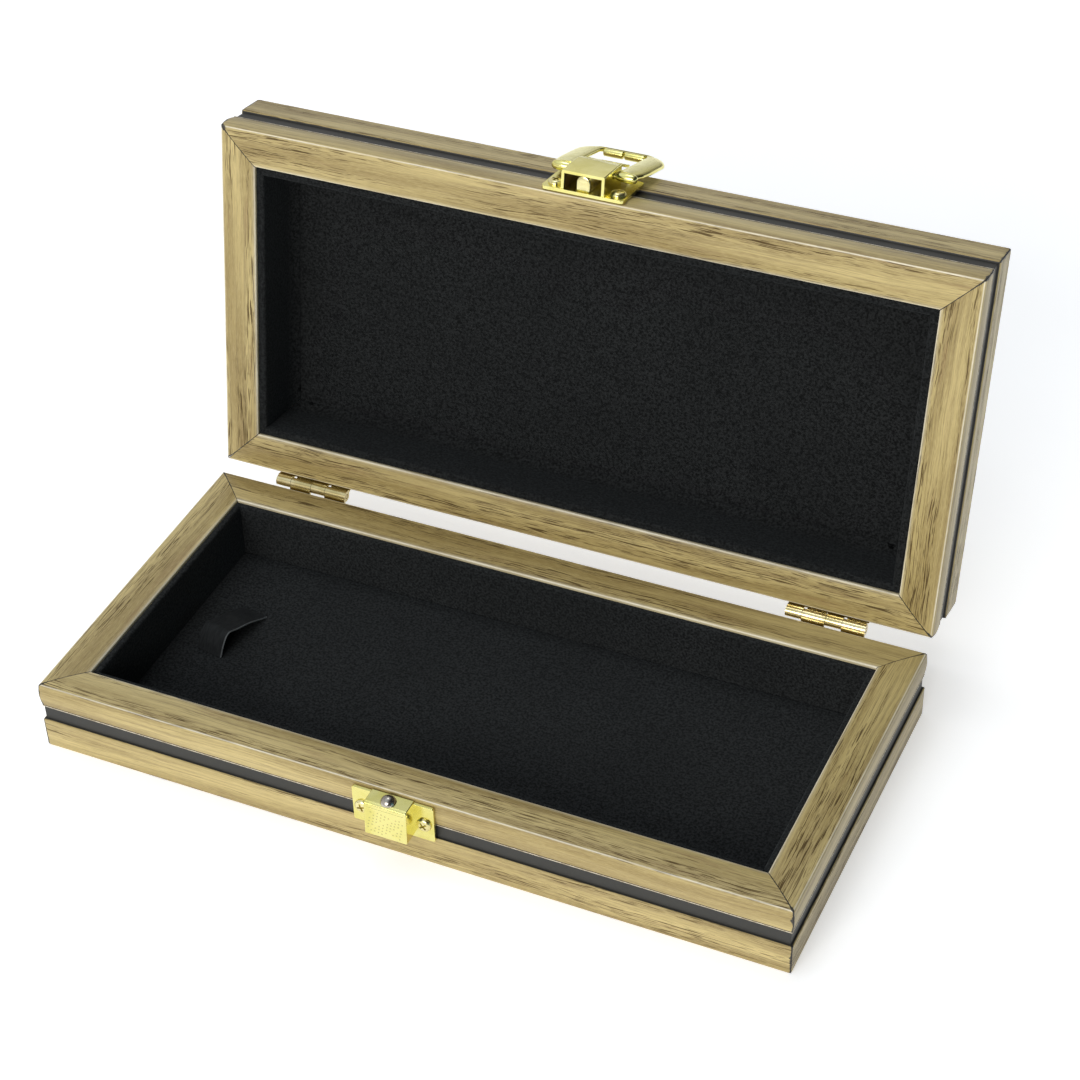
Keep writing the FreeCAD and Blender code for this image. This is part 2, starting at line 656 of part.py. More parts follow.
# ------------------------------------------------------------ screws
def screw_body(name, head_r, head_h, shank_r, length, sunk):
    """Wood screw along z: head at z > 0 (pan) or z < 0 (countersunk), point
    down, cross recess in the head."""
    b = doc.addObject("PartDesign::Body", name)
    b.Label = name
    sk = sketch_on(b, "Half", "XZ_Plane")
    tip = length
    if sunk:
        pts = [(0.0, -tip), (shank_r, -tip + 1.6), (shank_r, -head_h), (head_r, 0.0),
               (head_r * 0.55, 0.34), (0.0, 0.42)]
        arcs = {3: (num(head_r) * 0.8, 0.22), 4: (num(head_r) * 0.28, 0.40)}
    else:
        pts = [(0.0, -tip), (shank_r, -tip + 1.9), (shank_r, 0.0), (head_r, 0.0),
               (head_r, 0.35), (head_r * 0.45, head_h), (0.0, head_h + 0.08)]
        arcs = {4: (num(head_r) * 0.84, num(head_h) * 0.80),
                5: (num(head_r) * 0.22, num(head_h) + 0.06)}
    outline(sk, pts, arcs, "w")
    f = b.newObject("PartDesign::Revolution", "Turned")
    f.Profile = sk
    f.ReferenceAxis = (sk, ["V_Axis"])
    f.Angle = 360.0
    top = 0.42 if sunk else num(head_h) + 0.08
    arm, wid = num(head_r) * 0.58, num(head_r) * 0.13
    for i in (0, 1):
        ks = sketch_on(b, "Cross%d" % i, "XY_Plane", (0, 0, top + 0.05))
        if i:
            rect(ks, -wid, wid, -arm, arm, "x")
        else:
            rect(ks, -arm, arm, -wid, wid, "x")
        pocket(b, ks, num(head_r) * 0.34 + 0.05, "CrossCut%d" % i, symmetric=False)
    return b


def screw_set(label, screw, places):
    links = []
    doc.recompute()
    for i, place in enumerate(places):
        f = doc.addObject("Part::Feature", "%s_%d" % (label, i + 1))
        f.Shape = screw.Shape.copy()
        f.Placement = place
        links.append(f)
    c = doc.addObject("Part::Compound", label)
    c.Label = label
    c.Links = links
    return keep(c)


small = screw_body("small_screw", S.small_head, 0.85, S.small_shank, S.small_length, True)
big = screw_body("big_screw", S.big_head, 1.15, S.big_shank, S.big_length, False)

to_front = turn((1, 0, 0), 90)      # local +z to -Y
to_back = turn((1, 0, 0), -90)      # local +z to +Y
leaf_face = num(W2) + num(S.leaf_thick)
plate_face = num(W2) + num(S.plate_thick)
hinge_screw_z = AX_Z - num(S.leaf_screw_drop)
hs_x = [num(hx) + sgn * num(S.leaf_screw_half) for hx in hinge_xs for sgn in (-1, 1)]
screw_set("hinge_screws_base", small,
          [shift(x, leaf_face + 0.02, hinge_screw_z).multiply(to_back) for x in hs_x])
screw_set("hinge_screws_lid", small,
          [OPEN.multiply(shift(x, leaf_face + 0.02, 2 * AX_Z - hinge_screw_z)).multiply(to_back)
           for x in hs_x])
screw_set("latch_catch_screws", big,
          [shift(sgn * num(S.catch_screw_x), -plate_face, num(S.catch_screw_z)).multiply(to_front)
           .multiply(turn((0, 0, 1), a)) for sgn, a in ((-1, 20), (1, 38))])
screw_set("latch_plate_screws", big,
          [OPEN.multiply(shift(sgn * num(S.lid_screw_x), -plate_face, num(S.lid_screw_z)))
           .multiply(to_front).multiply(turn((0, 0, 1), a)) for sgn, a in ((-1, 70), (1, 12))])


# ------------------------------------------------------------ latch catch
# Local frame of both latch plates: x along the case, z up as when shut, and
# the frame's outermost front plane at y = 0; the metal stands at y < 0.
def plate_outline(sk, z0, z1, half, r, tag="t"):
    k = 0.2929 * r
    x, a, b = num(half), num(z0), num(z1)
    outline(sk, [(-half + r, z0), (half - r, z0), (half, z0 + r), (half, z1 - r),
                 (half - r, z1), (-half + r, z1), (-half, z1 - r), (-half, z0 + r)],
            {1: (x - k, a + k), 3: (x - k, b - k), 5: (-x + k, b - k), 7: (-x + k, a + k)},
            tag)


def catch():
    b = new_body("latch_catch")
    sk = sketch_on(b, "Plate", "XZ_Plane")
    plate_outline(sk, S.catch_low, S.catch_high, S.plate_half, 0.6)
    pad(b, sk, S.plate_thick, "PlatePad")              # the XZ plane faces -Y
    sk = sketch_on(b, "Hood", "YZ_Plane")
    f, t = S.hood_reach, S.plate_thick
    outline(sk, [(-t + 0.3, S.hood_low), (-(f + S.hood_flare), S.hood_low),
                 (-f, S.hood_high - 1.2), (-f + 1.2, S.hood_high),
                 (-0.25, S.hood_high), (-0.05, S.hood_high - 0.2), (-0.05, S.catch_high - 2)],
            {2: (-num(f) + 0.35, num(S.hood_high) - 0.35)}, "d")
    pad(b, sk, S.hood_half * 2, "HoodPad", symmetric=True)
    sk = sketch_on(b, "Hollow", "YZ_Plane")
    w = S.hood_wall
    outline(sk, [(-t, S.hood_low - 2), (-(f + S.hood_flare + 0.08 - w), S.hood_low - 2),
                 (-(f - w), S.hood_high - w - 0.5), (-(f - w) + 0.5, S.hood_high - w),
                 (-t, S.hood_high - w)], None, "e")
    pocket(b, sk, (S.hood_half - w) * 2, "HoodHollow")
    # screw holes and the rivet's hole
    sk = sketch_on(b, "Holes", "XZ_Plane")
    for i, sgn in enumerate((-1, 1)):
        circle(sk, S.catch_screw_x * sgn, S.catch_screw_z, S.big_shank + 0.12, "h%d" % i)
    pocket(b, sk, 2.5, "ScrewHoles")
    sk = sketch_on(b, "RivetHole", "XY_Plane", (0, 0, num(S.hood_high) + 1))
    circle(sk, 0.0, -S.dome_reach, 0.8, "v")
    pocket(b, sk, 2.6, "RivetBore", symmetric=False)
    # soften the bends along the hood's sides
    doc.recompute()
    hw, hr = num(S.hood_half), num(S.hood_reach)
    fillet(b, 0.35, lambda m, a, c: abs(abs(m.x) - hw) < 1e-3 and m.y < -1.5
           and m.z > num(S.hood_low) + 1 and m.z < num(S.hood_high) + 0.01
           and abs(a.x - c.x) < 1e-6 and (m.y < -hr + 0.05 or m.z > num(S.hood_high) - 0.05
                                          or (m.y < -hr + 1.0 and m.z > num(S.hood_high) - 1.0)),
           "HoodEdges")
    b.Placement = shift(0, -num(W2), 0)
    return keep(b)


catch()


def rivet():
    b = new_body("latch_catch_rivet")
    sk = sketch_on(b, "Half", "XZ_Plane")
    r, rise, w = num(S.dome_radius), num(S.dome_rise), num(S.hood_wall)
    rad = (r * r + rise * rise) / (2 * rise)
    xm = r * 0.72
    zm = math.sqrt(rad * rad - xm * xm) - (rad - rise)
    outline(sk, [(0.0, -w - 0.45), (0.95, -w - 0.45), (1.15, -w - 0.05), (0.78, -w - 0.05),
                 (0.78, 0.0), (S.dome_radius, 0.0), (0.0, S.dome_rise)],
            {5: (xm, zm)}, "z")
    f = b.newObject("PartDesign::Revolution", "Turned")
    f.Profile = sk
    f.ReferenceAxis = (sk, ["V_Axis"])
    f.Angle = 360.0
    b.Placement = shift(0, -num(W2) - num(S.dome_reach), num(S.hood_high))
    return keep(b)


rivet()


# ------------------------------------------------------------ latch, lid side
FRONT = shift(0, -num(W2), 0)
PIV_Y = -num(W2) - num(S.pivot_reach)
PIV_Z = num(S.pivot_z)


def latch_plate():
    b = new_body("latch_plate")
    sk = sketch_on(b, "Plate", "XZ_Plane")
    plate_outline(sk, S.lidplate_low, S.lidplate_high, S.plate_half, 1.4)
    pad(b, sk, S.plate_thick, "PlatePad")
    f, t, w = S.housing_reach, S.plate_thick, S.hood_wall
    sk = sketch_on(b, "Housing", "YZ_Plane")
    outline(sk, [(-t + 0.3, S.housing_low), (-f, S.housing_low), (-f, S.housing_high - 1.5),
                 (-S.tail_reach, S.tail_high), (-S.tail_reach + w, S.tail_high - 0.35),
                 (-f + w + 0.15, S.housing_high - 0.6), (-t + 0.3, S.housing_high)],
            {1: (-num(f) - 0.12, 32.5)}, "j")
    pad(b, sk, S.hood_half * 2, "HousingPad", symmetric=True)
    sk = sketch_on(b, "Hollow", "YZ_Plane")
    outline(sk, [(-t, S.housing_low - 2), (-f + w, S.housing_low - 2),
                 (-f + w, S.housing_high - 1.2), (-f + w + 0.5, S.housing_high + 0.4),
                 (-t, S.housing_high + 0.4)], None, "y")
    pocket(b, sk, (S.hood_half - w) * 2, "HousingHollow")
    sk = sketch_on(b, "PinHoles", "YZ_Plane")
    circle(sk, -S.pivot_reach, S.pivot_z, S.pivot_pin_radius + 0.02, "p")
    pocket(b, sk, 40.0, "PinBore")
    sk = sketch_on(b, "Holes", "XZ_Plane")
    for i, sgn in enumerate((-1, 1)):
        circle(sk, S.lid_screw_x * sgn, S.lid_screw_z, S.big_shank + 0.12, "h%d" % i)
    pocket(b, sk, 2.5, "ScrewHoles")
    doc.recompute()
    hw, hr = num(S.hood_half), num(S.housing_reach)
    fillet(b, 0.45, lambda m, a, c: abs(abs(m.x) - hw) < 1e-3 and m.y < -hr + 0.3
           and abs(a.x - c.x) < 1e-6 and abs(a.z - c.z) > 5, "RoofEdges")
    b.Placement = OPEN.multiply(FRONT)
    return keep(b)


latch_plate()


def spring():
    """Leaf spring in the housing: flat on the plate, rolled nose at the open
    end, the nose rounded across like an arched tongue."""
    b = new_body("latch_spring")
    sk = sketch_on(b, "Strip", "YZ_Plane")
    t = num(S.plate_thick)
    z0 = num(S.housing_low) + 2.9
    ro, ri, hw = 2.5, 2.1, 2.15
    yb = -t
    pts = [(yb, 40.0), (yb, z0), (yb - 2 * ro, z0), (yb - 2 * ro, z0 + 2.2),
           (yb - 2 * ro + 0.4, z0 + 2.2), (yb - 2 * ro + 0.4, z0), (yb - 0.4, z0), (yb - 0.4, 40.0)]
    outline(sk, pts, {1: (yb - ro, z0 - ro), 5: (yb - ro, z0 - ri)}, "f")
    pad(b, sk, 2 * hw, "Strip", symmetric=True)
    sk = sketch_on(b, "ArchSketch", "XY_Plane", (0, 0, z0 + 4))
    top = yb - 2 * ro
    outline(sk, [(hw, top + hw), (hw + 0.3, top + hw), (hw + 0.3, top - 0.4),
                 (-hw - 0.3, top - 0.4), (-hw - 0.3, top + hw), (-hw, top + hw)],
            {5: (0.0, top)}, "h")
    pocket(b, sk, 9.0, "Arch", symmetric=False)
    b.Placement = OPEN.multiply(FRONT)
    return keep(b)


spring()

round_pin("latch_pin", S.pivot_pin_radius, S.eye_out,
          OPEN.multiply(shift(0, PIV_Y, PIV_Z)))


def loop():
    """Swinging loop: two rolled eyes on the pin, arms either side of the
    housing and a broad rounded end round a rectangular window.  Local frame:
    x along the pin, y from the pin to the far end, z outward."""
    b = new_body("latch_loop")
    sk = sketch_on(b, "Outline", "XY_Plane", (0, 0, num(S.eye_radius - S.loop_thick - 0.03)))
    ln, hw, eo = S.loop_length, S.loop_half, S.eye_out
    L_, H_, E_ = num(ln), num(hw), num(eo)
    outline(sk, [(-eo, 0.3), (S.eye_in * -1, 0.3), (S.window_half * -1, 1.8),
                 (S.window_half * -1, S.window_far - 1.2),
                 (S.window_half * -1 + 1.2, S.window_far),
                 (S.window_half - 1.2, S.window_far), (S.window_half, S.window_far - 1.2),
                 (S.window_half, 1.8), (S.eye_in, 0.3), (eo, 0.3),
                 (hw, 9.0), (hw, ln - 7.5), (hw - 7.5, ln), (-hw + 7.5, ln),
                 (-hw, ln - 7.5), (-hw, 9.0)],
            {3: (-num(S.window_half) + 0.35, num(S.window_far) - 0.35),
             5: (num(S.window_half) - 0.35, num(S.window_far) - 0.35),
             9: (E_ + 1.05, 4.0), 11: (H_ - 2.2, L_ - 2.2), 13: (-H_ + 2.2, L_ - 2.2),
             15: (-E_ - 1.05, 4.0)}, "o")
    pad(b, sk, S.loop_thick, "Plate")
    sk = sketch_on(b, "Eyes", "YZ_Plane")
    circle(sk, 0.0, 0.0, S.eye_radius, "e")
    pad(b, sk, S.eye_out * 2, "EyePad", symmetric=True)
    sk = sketch_on(b, "Between", "XY_Plane")
    rect(sk, -S.eye_in, S.eye_in, -4.0, 1.75, "w")
    pocket(b, sk, 20.0, "BetweenEyes")
    sk = sketch_on(b, "Bore", "YZ_Plane")
    circle(sk, 0.0, 0.0, S.pivot_pin_radius + S.pivot_play, "p")
    pocket(b, sk, 60.0, "PinBore")
    b.Placement = OPEN.multiply(shift(0, PIV_Y, PIV_Z)).multiply(
        turn((1, 0, 0), 90 - num(S.loop_droop)))
    return keep(b)


loop()

# ------------------------------------------------------------ check and write
doc.recompute()
for o in doc.Objects:
    bad = [s for s in o.State if s in ("Invalid", "Error")]
    if bad:
        raise RuntimeError("%s (%s) is %s" % (o.Label, o.TypeId, bad))
for p in parts:
    if p.Shape.isNull() or not p.Shape.isValid() or p.Shape.Volume <= 0:
        raise RuntimeError("%s has no valid shape" % p.Label)
labels = [p.Label for p in parts]
if len(labels) != len(set(labels)):
    raise RuntimeError("two sub-parts share a label")

os.makedirs("parts", exist_ok=True)
for p in parts:
    p.Shape.exportStep(os.path.join("parts", p.Label + ".step"))
    bb = p.Shape.BoundBox
    print("%-26s solids %d  vol %10.2f  x %8.2f..%8.2f  y %8.2f..%8.2f  z %8.2f..%8.2f" % (
        p.Label, len(p.Shape.Solids), p.Shape.Volume, bb.XMin, bb.XMax, bb.YMin, bb.YMax,
        bb.ZMin, bb.ZMax))
print(len(parts), "sub-parts")
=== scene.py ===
"""Looks for the poker chip case: foil-wrapped moulding frames, black felt
lining, brass hinges and loop latch, on a pale floor in soft light."""
import math

import bmesh
import bpy
import numpy as np
from mathutils import Matrix, Vector, noise


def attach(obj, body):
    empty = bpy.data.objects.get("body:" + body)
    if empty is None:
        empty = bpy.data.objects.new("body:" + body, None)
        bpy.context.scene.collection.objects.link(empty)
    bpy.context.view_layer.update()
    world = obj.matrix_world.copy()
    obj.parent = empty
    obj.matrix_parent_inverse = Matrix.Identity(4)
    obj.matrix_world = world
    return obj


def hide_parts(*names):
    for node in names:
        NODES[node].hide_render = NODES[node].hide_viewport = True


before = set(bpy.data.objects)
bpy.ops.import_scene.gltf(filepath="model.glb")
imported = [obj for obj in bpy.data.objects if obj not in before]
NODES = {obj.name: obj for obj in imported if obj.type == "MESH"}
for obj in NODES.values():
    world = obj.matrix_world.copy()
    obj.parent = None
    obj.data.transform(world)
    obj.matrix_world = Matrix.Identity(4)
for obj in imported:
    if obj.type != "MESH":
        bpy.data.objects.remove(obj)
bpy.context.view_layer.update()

# ------------------------------------------------------------- frame geometry
HALF_L, HALF_W, RAIL = 125.0, 60.0, 12.5
AXIS_Y, AXIS_Z, OPEN_DEG = 62.1, 25.68, 100.0


def rot_x(deg, y=0.0, z=0.0):
    return (Matrix.Translation((0, y, z)) @ Matrix.Rotation(math.radians(deg), 4, "X")
            @ Matrix.Translation((0, -y, -z)))


def rot_z(deg):
    return Matrix.Rotation(math.radians(deg), 4, "Z")


def move(x, y, z):
    return Matrix.Translation((x, y, z))


OPEN = rot_x(-OPEN_DEG, AXIS_Y, AXIS_Z)
FLIP = move(0, 0, 2 * AXIS_Z) @ Matrix.Rotation(math.pi, 4, "X")
SIDES = {
    "front": (move(0, -HALF_W, 0), HALF_L),
    "back": (move(0, HALF_W, 0) @ rot_z(180), HALF_L),
    "left": (move(-HALF_L, 0, 0) @ rot_z(-90), HALF_W),
    "right": (move(HALF_L, 0, 0) @ rot_z(90), HALF_W),
}
FLIPPED = {"front": "back", "back": "front", "left": "left", "right": "right"}
BODY = {False: "base", True: "lid"}


def side_place(side, lid):
    place, half = SIDES[FLIPPED[side] if lid else side]
    return (OPEN @ FLIP @ place if lid else place), half


# ------------------------------------------------------------- mesh helpers
def make(name, co, faces, mats, place=None, uv=None, fmat=None, attrs=None, body=None,
         replaces=(), sharp=35.0, recalc=True):
    """Mesh in millimetres to an object in metres.  uv: one (u, v) per corner in
    metres; attrs: name -> value per vertex."""
    me = bpy.data.meshes.new(name)
    co = np.asarray(co, float).reshape(-1, 3)
    if place is not None:
        m = np.array(place, float)
        co = co @ m[:3, :3].T + m[:3, 3]
    me.from_pydata((co * 0.001).tolist(), [], [list(f) for f in faces])
    for m in mats:
        me.materials.append(m)
    if fmat is not None:
        me.polygons.foreach_set("material_index", np.asarray(fmat, np.int32))
    if uv is not None:
        layer = me.uv_layers.new(name="UVMap")
        layer.data.foreach_set("uv", np.asarray(uv, np.float32).ravel())
    for key, val in (attrs or {}).items():
        a = me.attributes.new(key, "FLOAT", "POINT")
        a.data.foreach_set("value", np.asarray(val, np.float32))
    if recalc:
        bm = bmesh.new()
        bm.from_mesh(me)
        bmesh.ops.recalc_face_normals(bm, faces=bm.faces)
        bm.to_mesh(me)
        bm.free()
    me.shade_smooth()
    me.set_sharp_from_angle(angle=math.radians(sharp))
    me.update()
    o = bpy.data.objects.new(name, me)
    bpy.context.scene.collection.objects.link(o)
    if body:
        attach(o, body)
    if replaces:
        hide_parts(*replaces)
    return o


def arc3(a, m, b, n):
    """n points after a along the arc a-m-b, ending at b."""
    (ax, ay), (mx, my), (bx, by) = a, m, b
    d = 2 * (ax * (my - by) + mx * (by - ay) + bx * (ay - my))
    qa, qm, qb = ax * ax + ay * ay, mx * mx + my * my, bx * bx + by * by
    cx = (qa * (my - by) + qm * (by - ay) + qb * (ay - my)) / d
    cy = (qa * (bx - mx) + qm * (ax - bx) + qb * (mx - ax)) / d
    r = math.hypot(ax - cx, ay - cy)
    t0, tm, t1 = (math.atan2(p[1] - cy, p[0] - cx) for p in (a, m, b))
    turn = (t1 - t0) % (2 * math.pi)
    if (tm - t0) % (2 * math.pi) > turn:
        turn -= 2 * math.pi
    return [(cx + r * math.cos(t0 + turn * k / n), cy + r * math.sin(t0 + turn * k / n))
            for k in range(1, n + 1)]


def line(a, b, n):
    return [(a[0] + (b[0] - a[0]) * k / n, a[1] + (b[1] - a[1]) * k / n)
            for k in range(1, n + 1)]


def nz(x, y, z=0.0):
    return noise.noise(Vector((x, y, z)))


# ------------------------------------------------------------- node helpers
class Net:
    def __init__(self, name):
        self.m = bpy.data.materials.new(name)
        self.m.use_nodes = True
        self.t = self.m.node_tree
        self.t.nodes.clear()
        self.out = self.t.nodes.new("ShaderNodeOutputMaterial")
        self.p = self.t.nodes.new("ShaderNodeBsdfPrincipled")
        self.t.links.new(self.p.outputs[0], self.out.inputs[0])

    def put(self, sock, v):
        if isinstance(v, bpy.types.NodeSocket):
            self.t.links.new(v, sock)
        elif isinstance(v, (tuple, list)) and len(v) == 3 and sock.type == "RGBA":
            sock.default_value = (*v, 1.0)
        else:
            sock.default_value = v

    def node(self, kind, props=None, **ins):
        n = self.t.nodes.new("ShaderNode" + kind)
        for k, v in (props or {}).items():
            setattr(n, k, v)
        for k, v in ins.items():
            key = int(k[1:]) if k[0] == "_" and k[1:].isdigit() else k.replace("_", " ")
            self.put(n.inputs[key], v)
        return n

    def math(self, op, a, b=None, c=None, clamp=False):
        n = self.node("Math", {"operation": op, "use_clamp": clamp})
        for i, v in enumerate((a, b, c)):
            if v is not None:
                self.put(n.inputs[i], v)
        return n.outputs[0]

    def noise(self, vec, scale=1.0, detail=2.0, rough=0.5, dist=0.0):
        n = self.node("TexNoise", Vector=vec, Scale=scale, Detail=detail, Roughness=rough,
                      Distortion=dist)
        return n.outputs["Fac"]

    def step(self, x, lo, hi, a=0.0, b=1.0):
        n = self.node("MapRange", {"interpolation_type": "SMOOTHSTEP"}, _0=x, _1=lo, _2=hi,
                      _3=a, _4=b)
        return n.outputs[0]

    def mix(self, f, a, b, mode="MIX"):
        n = self.node("Mix", {"data_type": "RGBA", "blend_type": mode})
        self.put(n.inputs[0], f)
        self.put(n.inputs[6], a)
        self.put(n.inputs[7], b)
        return n.outputs[2]

    def attr(self, name):
        return self.node("Attribute", {"attribute_name": name}).outputs["Fac"]

    def vec(self, x, y, z=0.0):
        n = self.node("CombineXYZ")
        for i, v in enumerate((x, y, z)):
            self.put(n.inputs[i], v)
        return n.outputs[0]

    def bump(self, height, strength, dist):
        n = self.node("Bump", Strength=strength, Distance=dist, Height=height)
        self.put(self.p.inputs["Normal"], n.outputs[0])
        return n.outputs[0]

    def set(self, **ins):
        for k, v in ins.items():
            self.put(self.p.inputs[k.replace("_", " ")], v)
        return self


def split_uv(n):
    uv = n.node("UVMap", {"uv_map": "UVMap"}).outputs[0]
    s = n.node("SeparateXYZ", _0=uv)
    return s.outputs[0], s.outputs[1]


def obj_coord(n):
    return n.node("TexCoord").outputs["Object"]


# ------------------------------------------------------------- materials
def laminate(name, seed=0.0, tint=1.0):
    """Oak-pattern foil: tan streaks along the length, long broken dark pores
    that come in bands."""
    n = Net(name)
    u, v = split_uv(n)
    wav = n.noise(n.vec(n.math("MULTIPLY", u, 22.0), n.math("MULTIPLY", v, 60.0), seed), 1.0, 2.0)
    vv = n.math("ADD", v, n.math("MULTIPLY", n.math("SUBTRACT", wav, 0.5), 0.0030))

    def tex(su, sv, off, detail=2.0, rough=0.5, dist=0.0):
        return n.noise(n.vec(n.math("MULTIPLY", u, su), n.math("MULTIPLY", vv, sv), seed + off),
                       1.0, detail, rough, dist)
    broad = tex(8, 150, 3.1, 3.0, 0.55)
    smudge = tex(24, 300, 5.9, 2.0)
    band = tex(12, 290, 7.7, 2.0)
    streak = tex(15, 1500, 11.3, 3.0, 0.6)
    hair = tex(60, 3600, 13.9, 2.0, 0.6)
    pore_a = tex(88, 2750, 17.9, 1.3, 0.5)
    pore_b = tex(210, 4700, 23.3, 1.2, 0.5)
    pore_c = tex(60, 1800, 27.1, 1.4, 0.5)
    fibre = tex(520, 7800, 31.7, 1.0)
    col = n.mix(n.step(broad, 0.34, 0.66), (0.312 * tint, 0.225 * tint, 0.073 * tint),
                (0.575 * tint, 0.452 * tint, 0.186 * tint))
    col = n.mix(n.step(streak, 0.47, 0.66, 0.0, 0.50), col, (0.215, 0.148, 0.052))
    col = n.mix(n.step(smudge, 0.60, 0.74, 0.0, 0.45), col, (0.270, 0.160, 0.060))
    col = n.mix(n.step(hair, 0.52, 0.70, 0.0, 0.42), col, (0.165, 0.106, 0.040))
    col = n.mix(n.step(fibre, 0.35, 0.75, 0.0, 0.28), col, (0.68, 0.55, 0.26))
    grain = n.attr("grain")
    cluster = n.math("MULTIPLY", n.step(band, 0.44, 0.58), grain)
    pa = n.math("MULTIPLY", n.step(pore_a, 0.585, 0.640),
                n.math("MULTIPLY", n.math("ADD", n.math("MULTIPLY", cluster, 0.85), 0.15), grain))
    pb = n.math("MULTIPLY", n.step(pore_b, 0.59, 0.67),
                n.math("MULTIPLY", n.math("ADD", n.math("MULTIPLY", cluster, 0.70), 0.25), grain))
    pc = n.math("MULTIPLY", n.step(pore_c, 0.615, 0.665), cluster)
    pores = n.math("MAXIMUM", n.math("MAXIMUM", pa, pc), n.math("MULTIPLY", pb, 0.80), clamp=True)
    col = n.mix(n.math("MULTIPLY", pores, 0.86), col, (0.056, 0.028, 0.009))
    # painted highlight: a pale cream line along the rail's outer crest and inner eased edge, broken up by noise
    painted_highlight = n.attr("painted_highlight")
    highlight_break = n.noise(n.vec(n.math("MULTIPLY", u, 900.0), n.math("MULTIPLY", v, 2500.0), seed), 1.0, 2.0)
    highlight_amount = n.math("MULTIPLY", painted_highlight, n.math("ADD", 0.68, n.math("MULTIPLY", highlight_break, 0.5)), clamp=True)
    col = n.mix(n.math("MULTIPLY", highlight_amount, 0.96), col, (0.98, 0.92, 0.74))
    ragged = n.noise(n.node("VectorMath", {"operation": "MULTIPLY"}, _0=obj_coord(n),
                            _1=(1500, 1500, 1500)).outputs[0], 1.0, 2.0)
    seam = n.step(n.math("ADD", n.attr("seam"), n.math("MULTIPLY", n.math("SUBTRACT", ragged, 0.5), 0.9)),
                  0.40, 0.62)
    col = n.mix(n.math("MULTIPLY", seam, 0.95), col, (0.020, 0.020, 0.020))
    n.set(Base_Color=col)
    rough = n.math("ADD", n.math("MULTIPLY", pores, 0.15),
                   n.math("ADD", 0.34, n.math("MULTIPLY", streak, 0.10)))
    n.set(Roughness=n.math("SUBTRACT", rough, n.math("MULTIPLY", painted_highlight, 0.08)), Specular_IOR_Level=n.math("SUBTRACT", 0.42, n.math("MULTIPLY", pores, 0.30)),
          Coat_Weight=n.math("MULTIPLY", n.math("SUBTRACT", 1.0, pores), 0.12), Coat_Roughness=0.30)
    h = n.math("SUBTRACT", n.math("MULTIPLY", fibre, 0.25), pores)
    n.bump(h, 0.35, 0.00006)
    return n.m


def groove_black():
    n = Net("groove_paint")
    c = obj_coord(n)
    a = n.noise(c, 900, 3.0)
    b = n.noise(c, 60, 2.0)
    n.set(Base_Color=n.mix(a, (0.015, 0.0145, 0.012), (0.026, 0.025, 0.021)),
          Roughness=n.math("ADD", 0.40, n.math("MULTIPLY", b, 0.20)))
    n.bump(a, 0.3, 0.00005)
    return n.m


def foil_edge_and_highlight():
    n = Net("foil_cut_edge_and_painted_highlight")
    c = obj_coord(n)
    a = n.noise(c, 700, 3.0)
    # pale cut edge of the foil, painted paler still as a highlight where it catches the light
    n.set(Base_Color=n.mix(n.step(a, 0.35, 0.65), (0.46, 0.38, 0.25), (0.74, 0.66, 0.50)), Roughness=0.45)
    n.bump(a, 0.3, 0.00004)
    return n.m


def core_fibre_and_shadow():
    n = Net("core_fibreboard_and_painted_shadow")
    c = obj_coord(n)
    a = n.noise(c, 1500, 4.0, 0.6)
    # dark fibreboard core; the same material also paints a shadow line under the groove's lifted foil edge
    n.set(Base_Color=n.mix(a, (0.012, 0.010, 0.008), (0.05, 0.040, 0.028)), Roughness=0.85)
    n.bump(a, 0.5, 0.00008)
    return n.m


def felt(name, dark=1.0, sheen=0.12):
    """Black felt, faintly cool, with short fuzz and cloudy nap."""
    n = Net(name)
    c = obj_coord(n)
    fuzz = n.noise(c, 1250, 3.0, 0.68)
    hair = n.noise(n.node("VectorMath", {"operation": "MULTIPLY"}, _0=c, _1=(900, 3800, 2300)).outputs[0],
                   1.0, 2.0, 0.6, 0.6)
    cloud = n.noise(c, 28, 3.0, 0.5)
    lo = (0.0042 * dark, 0.0046 * dark, 0.0047 * dark)
    hi = (0.0245 * dark, 0.0262 * dark, 0.0266 * dark)
    col = n.mix(n.step(fuzz, 0.36, 0.64), lo, hi)
    col = n.mix(n.step(hair, 0.58, 0.72, 0.0, 0.45), col, (0.040, 0.042, 0.043))
    col = n.mix(n.step(cloud, 0.3, 0.7, 0.0, 0.22), col, (0.0050, 0.0056, 0.0058))
    n.set(Base_Color=col, Roughness=0.95, Specular_IOR_Level=0.12, Sheen_Weight=sheen,
          Sheen_Roughness=0.5, Sheen_Tint=(0.80, 0.90, 0.95))
    n.bump(n.math("ADD", fuzz, n.math("MULTIPLY", hair, 0.6)), 0.55, 0.00014)
    return n.m


def ribbon_mat():
    """Satin ribbon: fine crosswise ribs, a painted highlight along its right edge."""
    n = Net("ribbon_weave")
    u, v = split_uv(n)
    ribs = n.math("SINE", n.math("MULTIPLY", u, 2 * math.pi / 0.00042))
    warp = n.math("SINE", n.math("MULTIPLY", v, 2 * math.pi / 0.00036))
    weave = n.math("MULTIPLY", ribs, warp)
    slub = n.noise(n.vec(n.math("MULTIPLY", u, 300.0), n.math("MULTIPLY", v, 1800.0)), 1.0, 2.0)
    col = n.mix(n.step(slub, 0.3, 0.7), (0.0085, 0.0095, 0.0100), (0.0160, 0.0174, 0.0180))
    # painted highlight: the ribbon's right edge painted paler
    col = n.mix(n.math("MULTIPLY", n.attr("edge_highlight"), 0.85), col, (0.150, 0.158, 0.160))
    n.set(Base_Color=col, Roughness=0.80, Specular_IOR_Level=0.15, Sheen_Weight=0.03, Sheen_Roughness=0.4)
    n.bump(n.math("ADD", n.math("MULTIPLY", weave, 0.5), n.math("MULTIPLY", slub, 0.6)), 0.6, 0.00006)
    return n.m


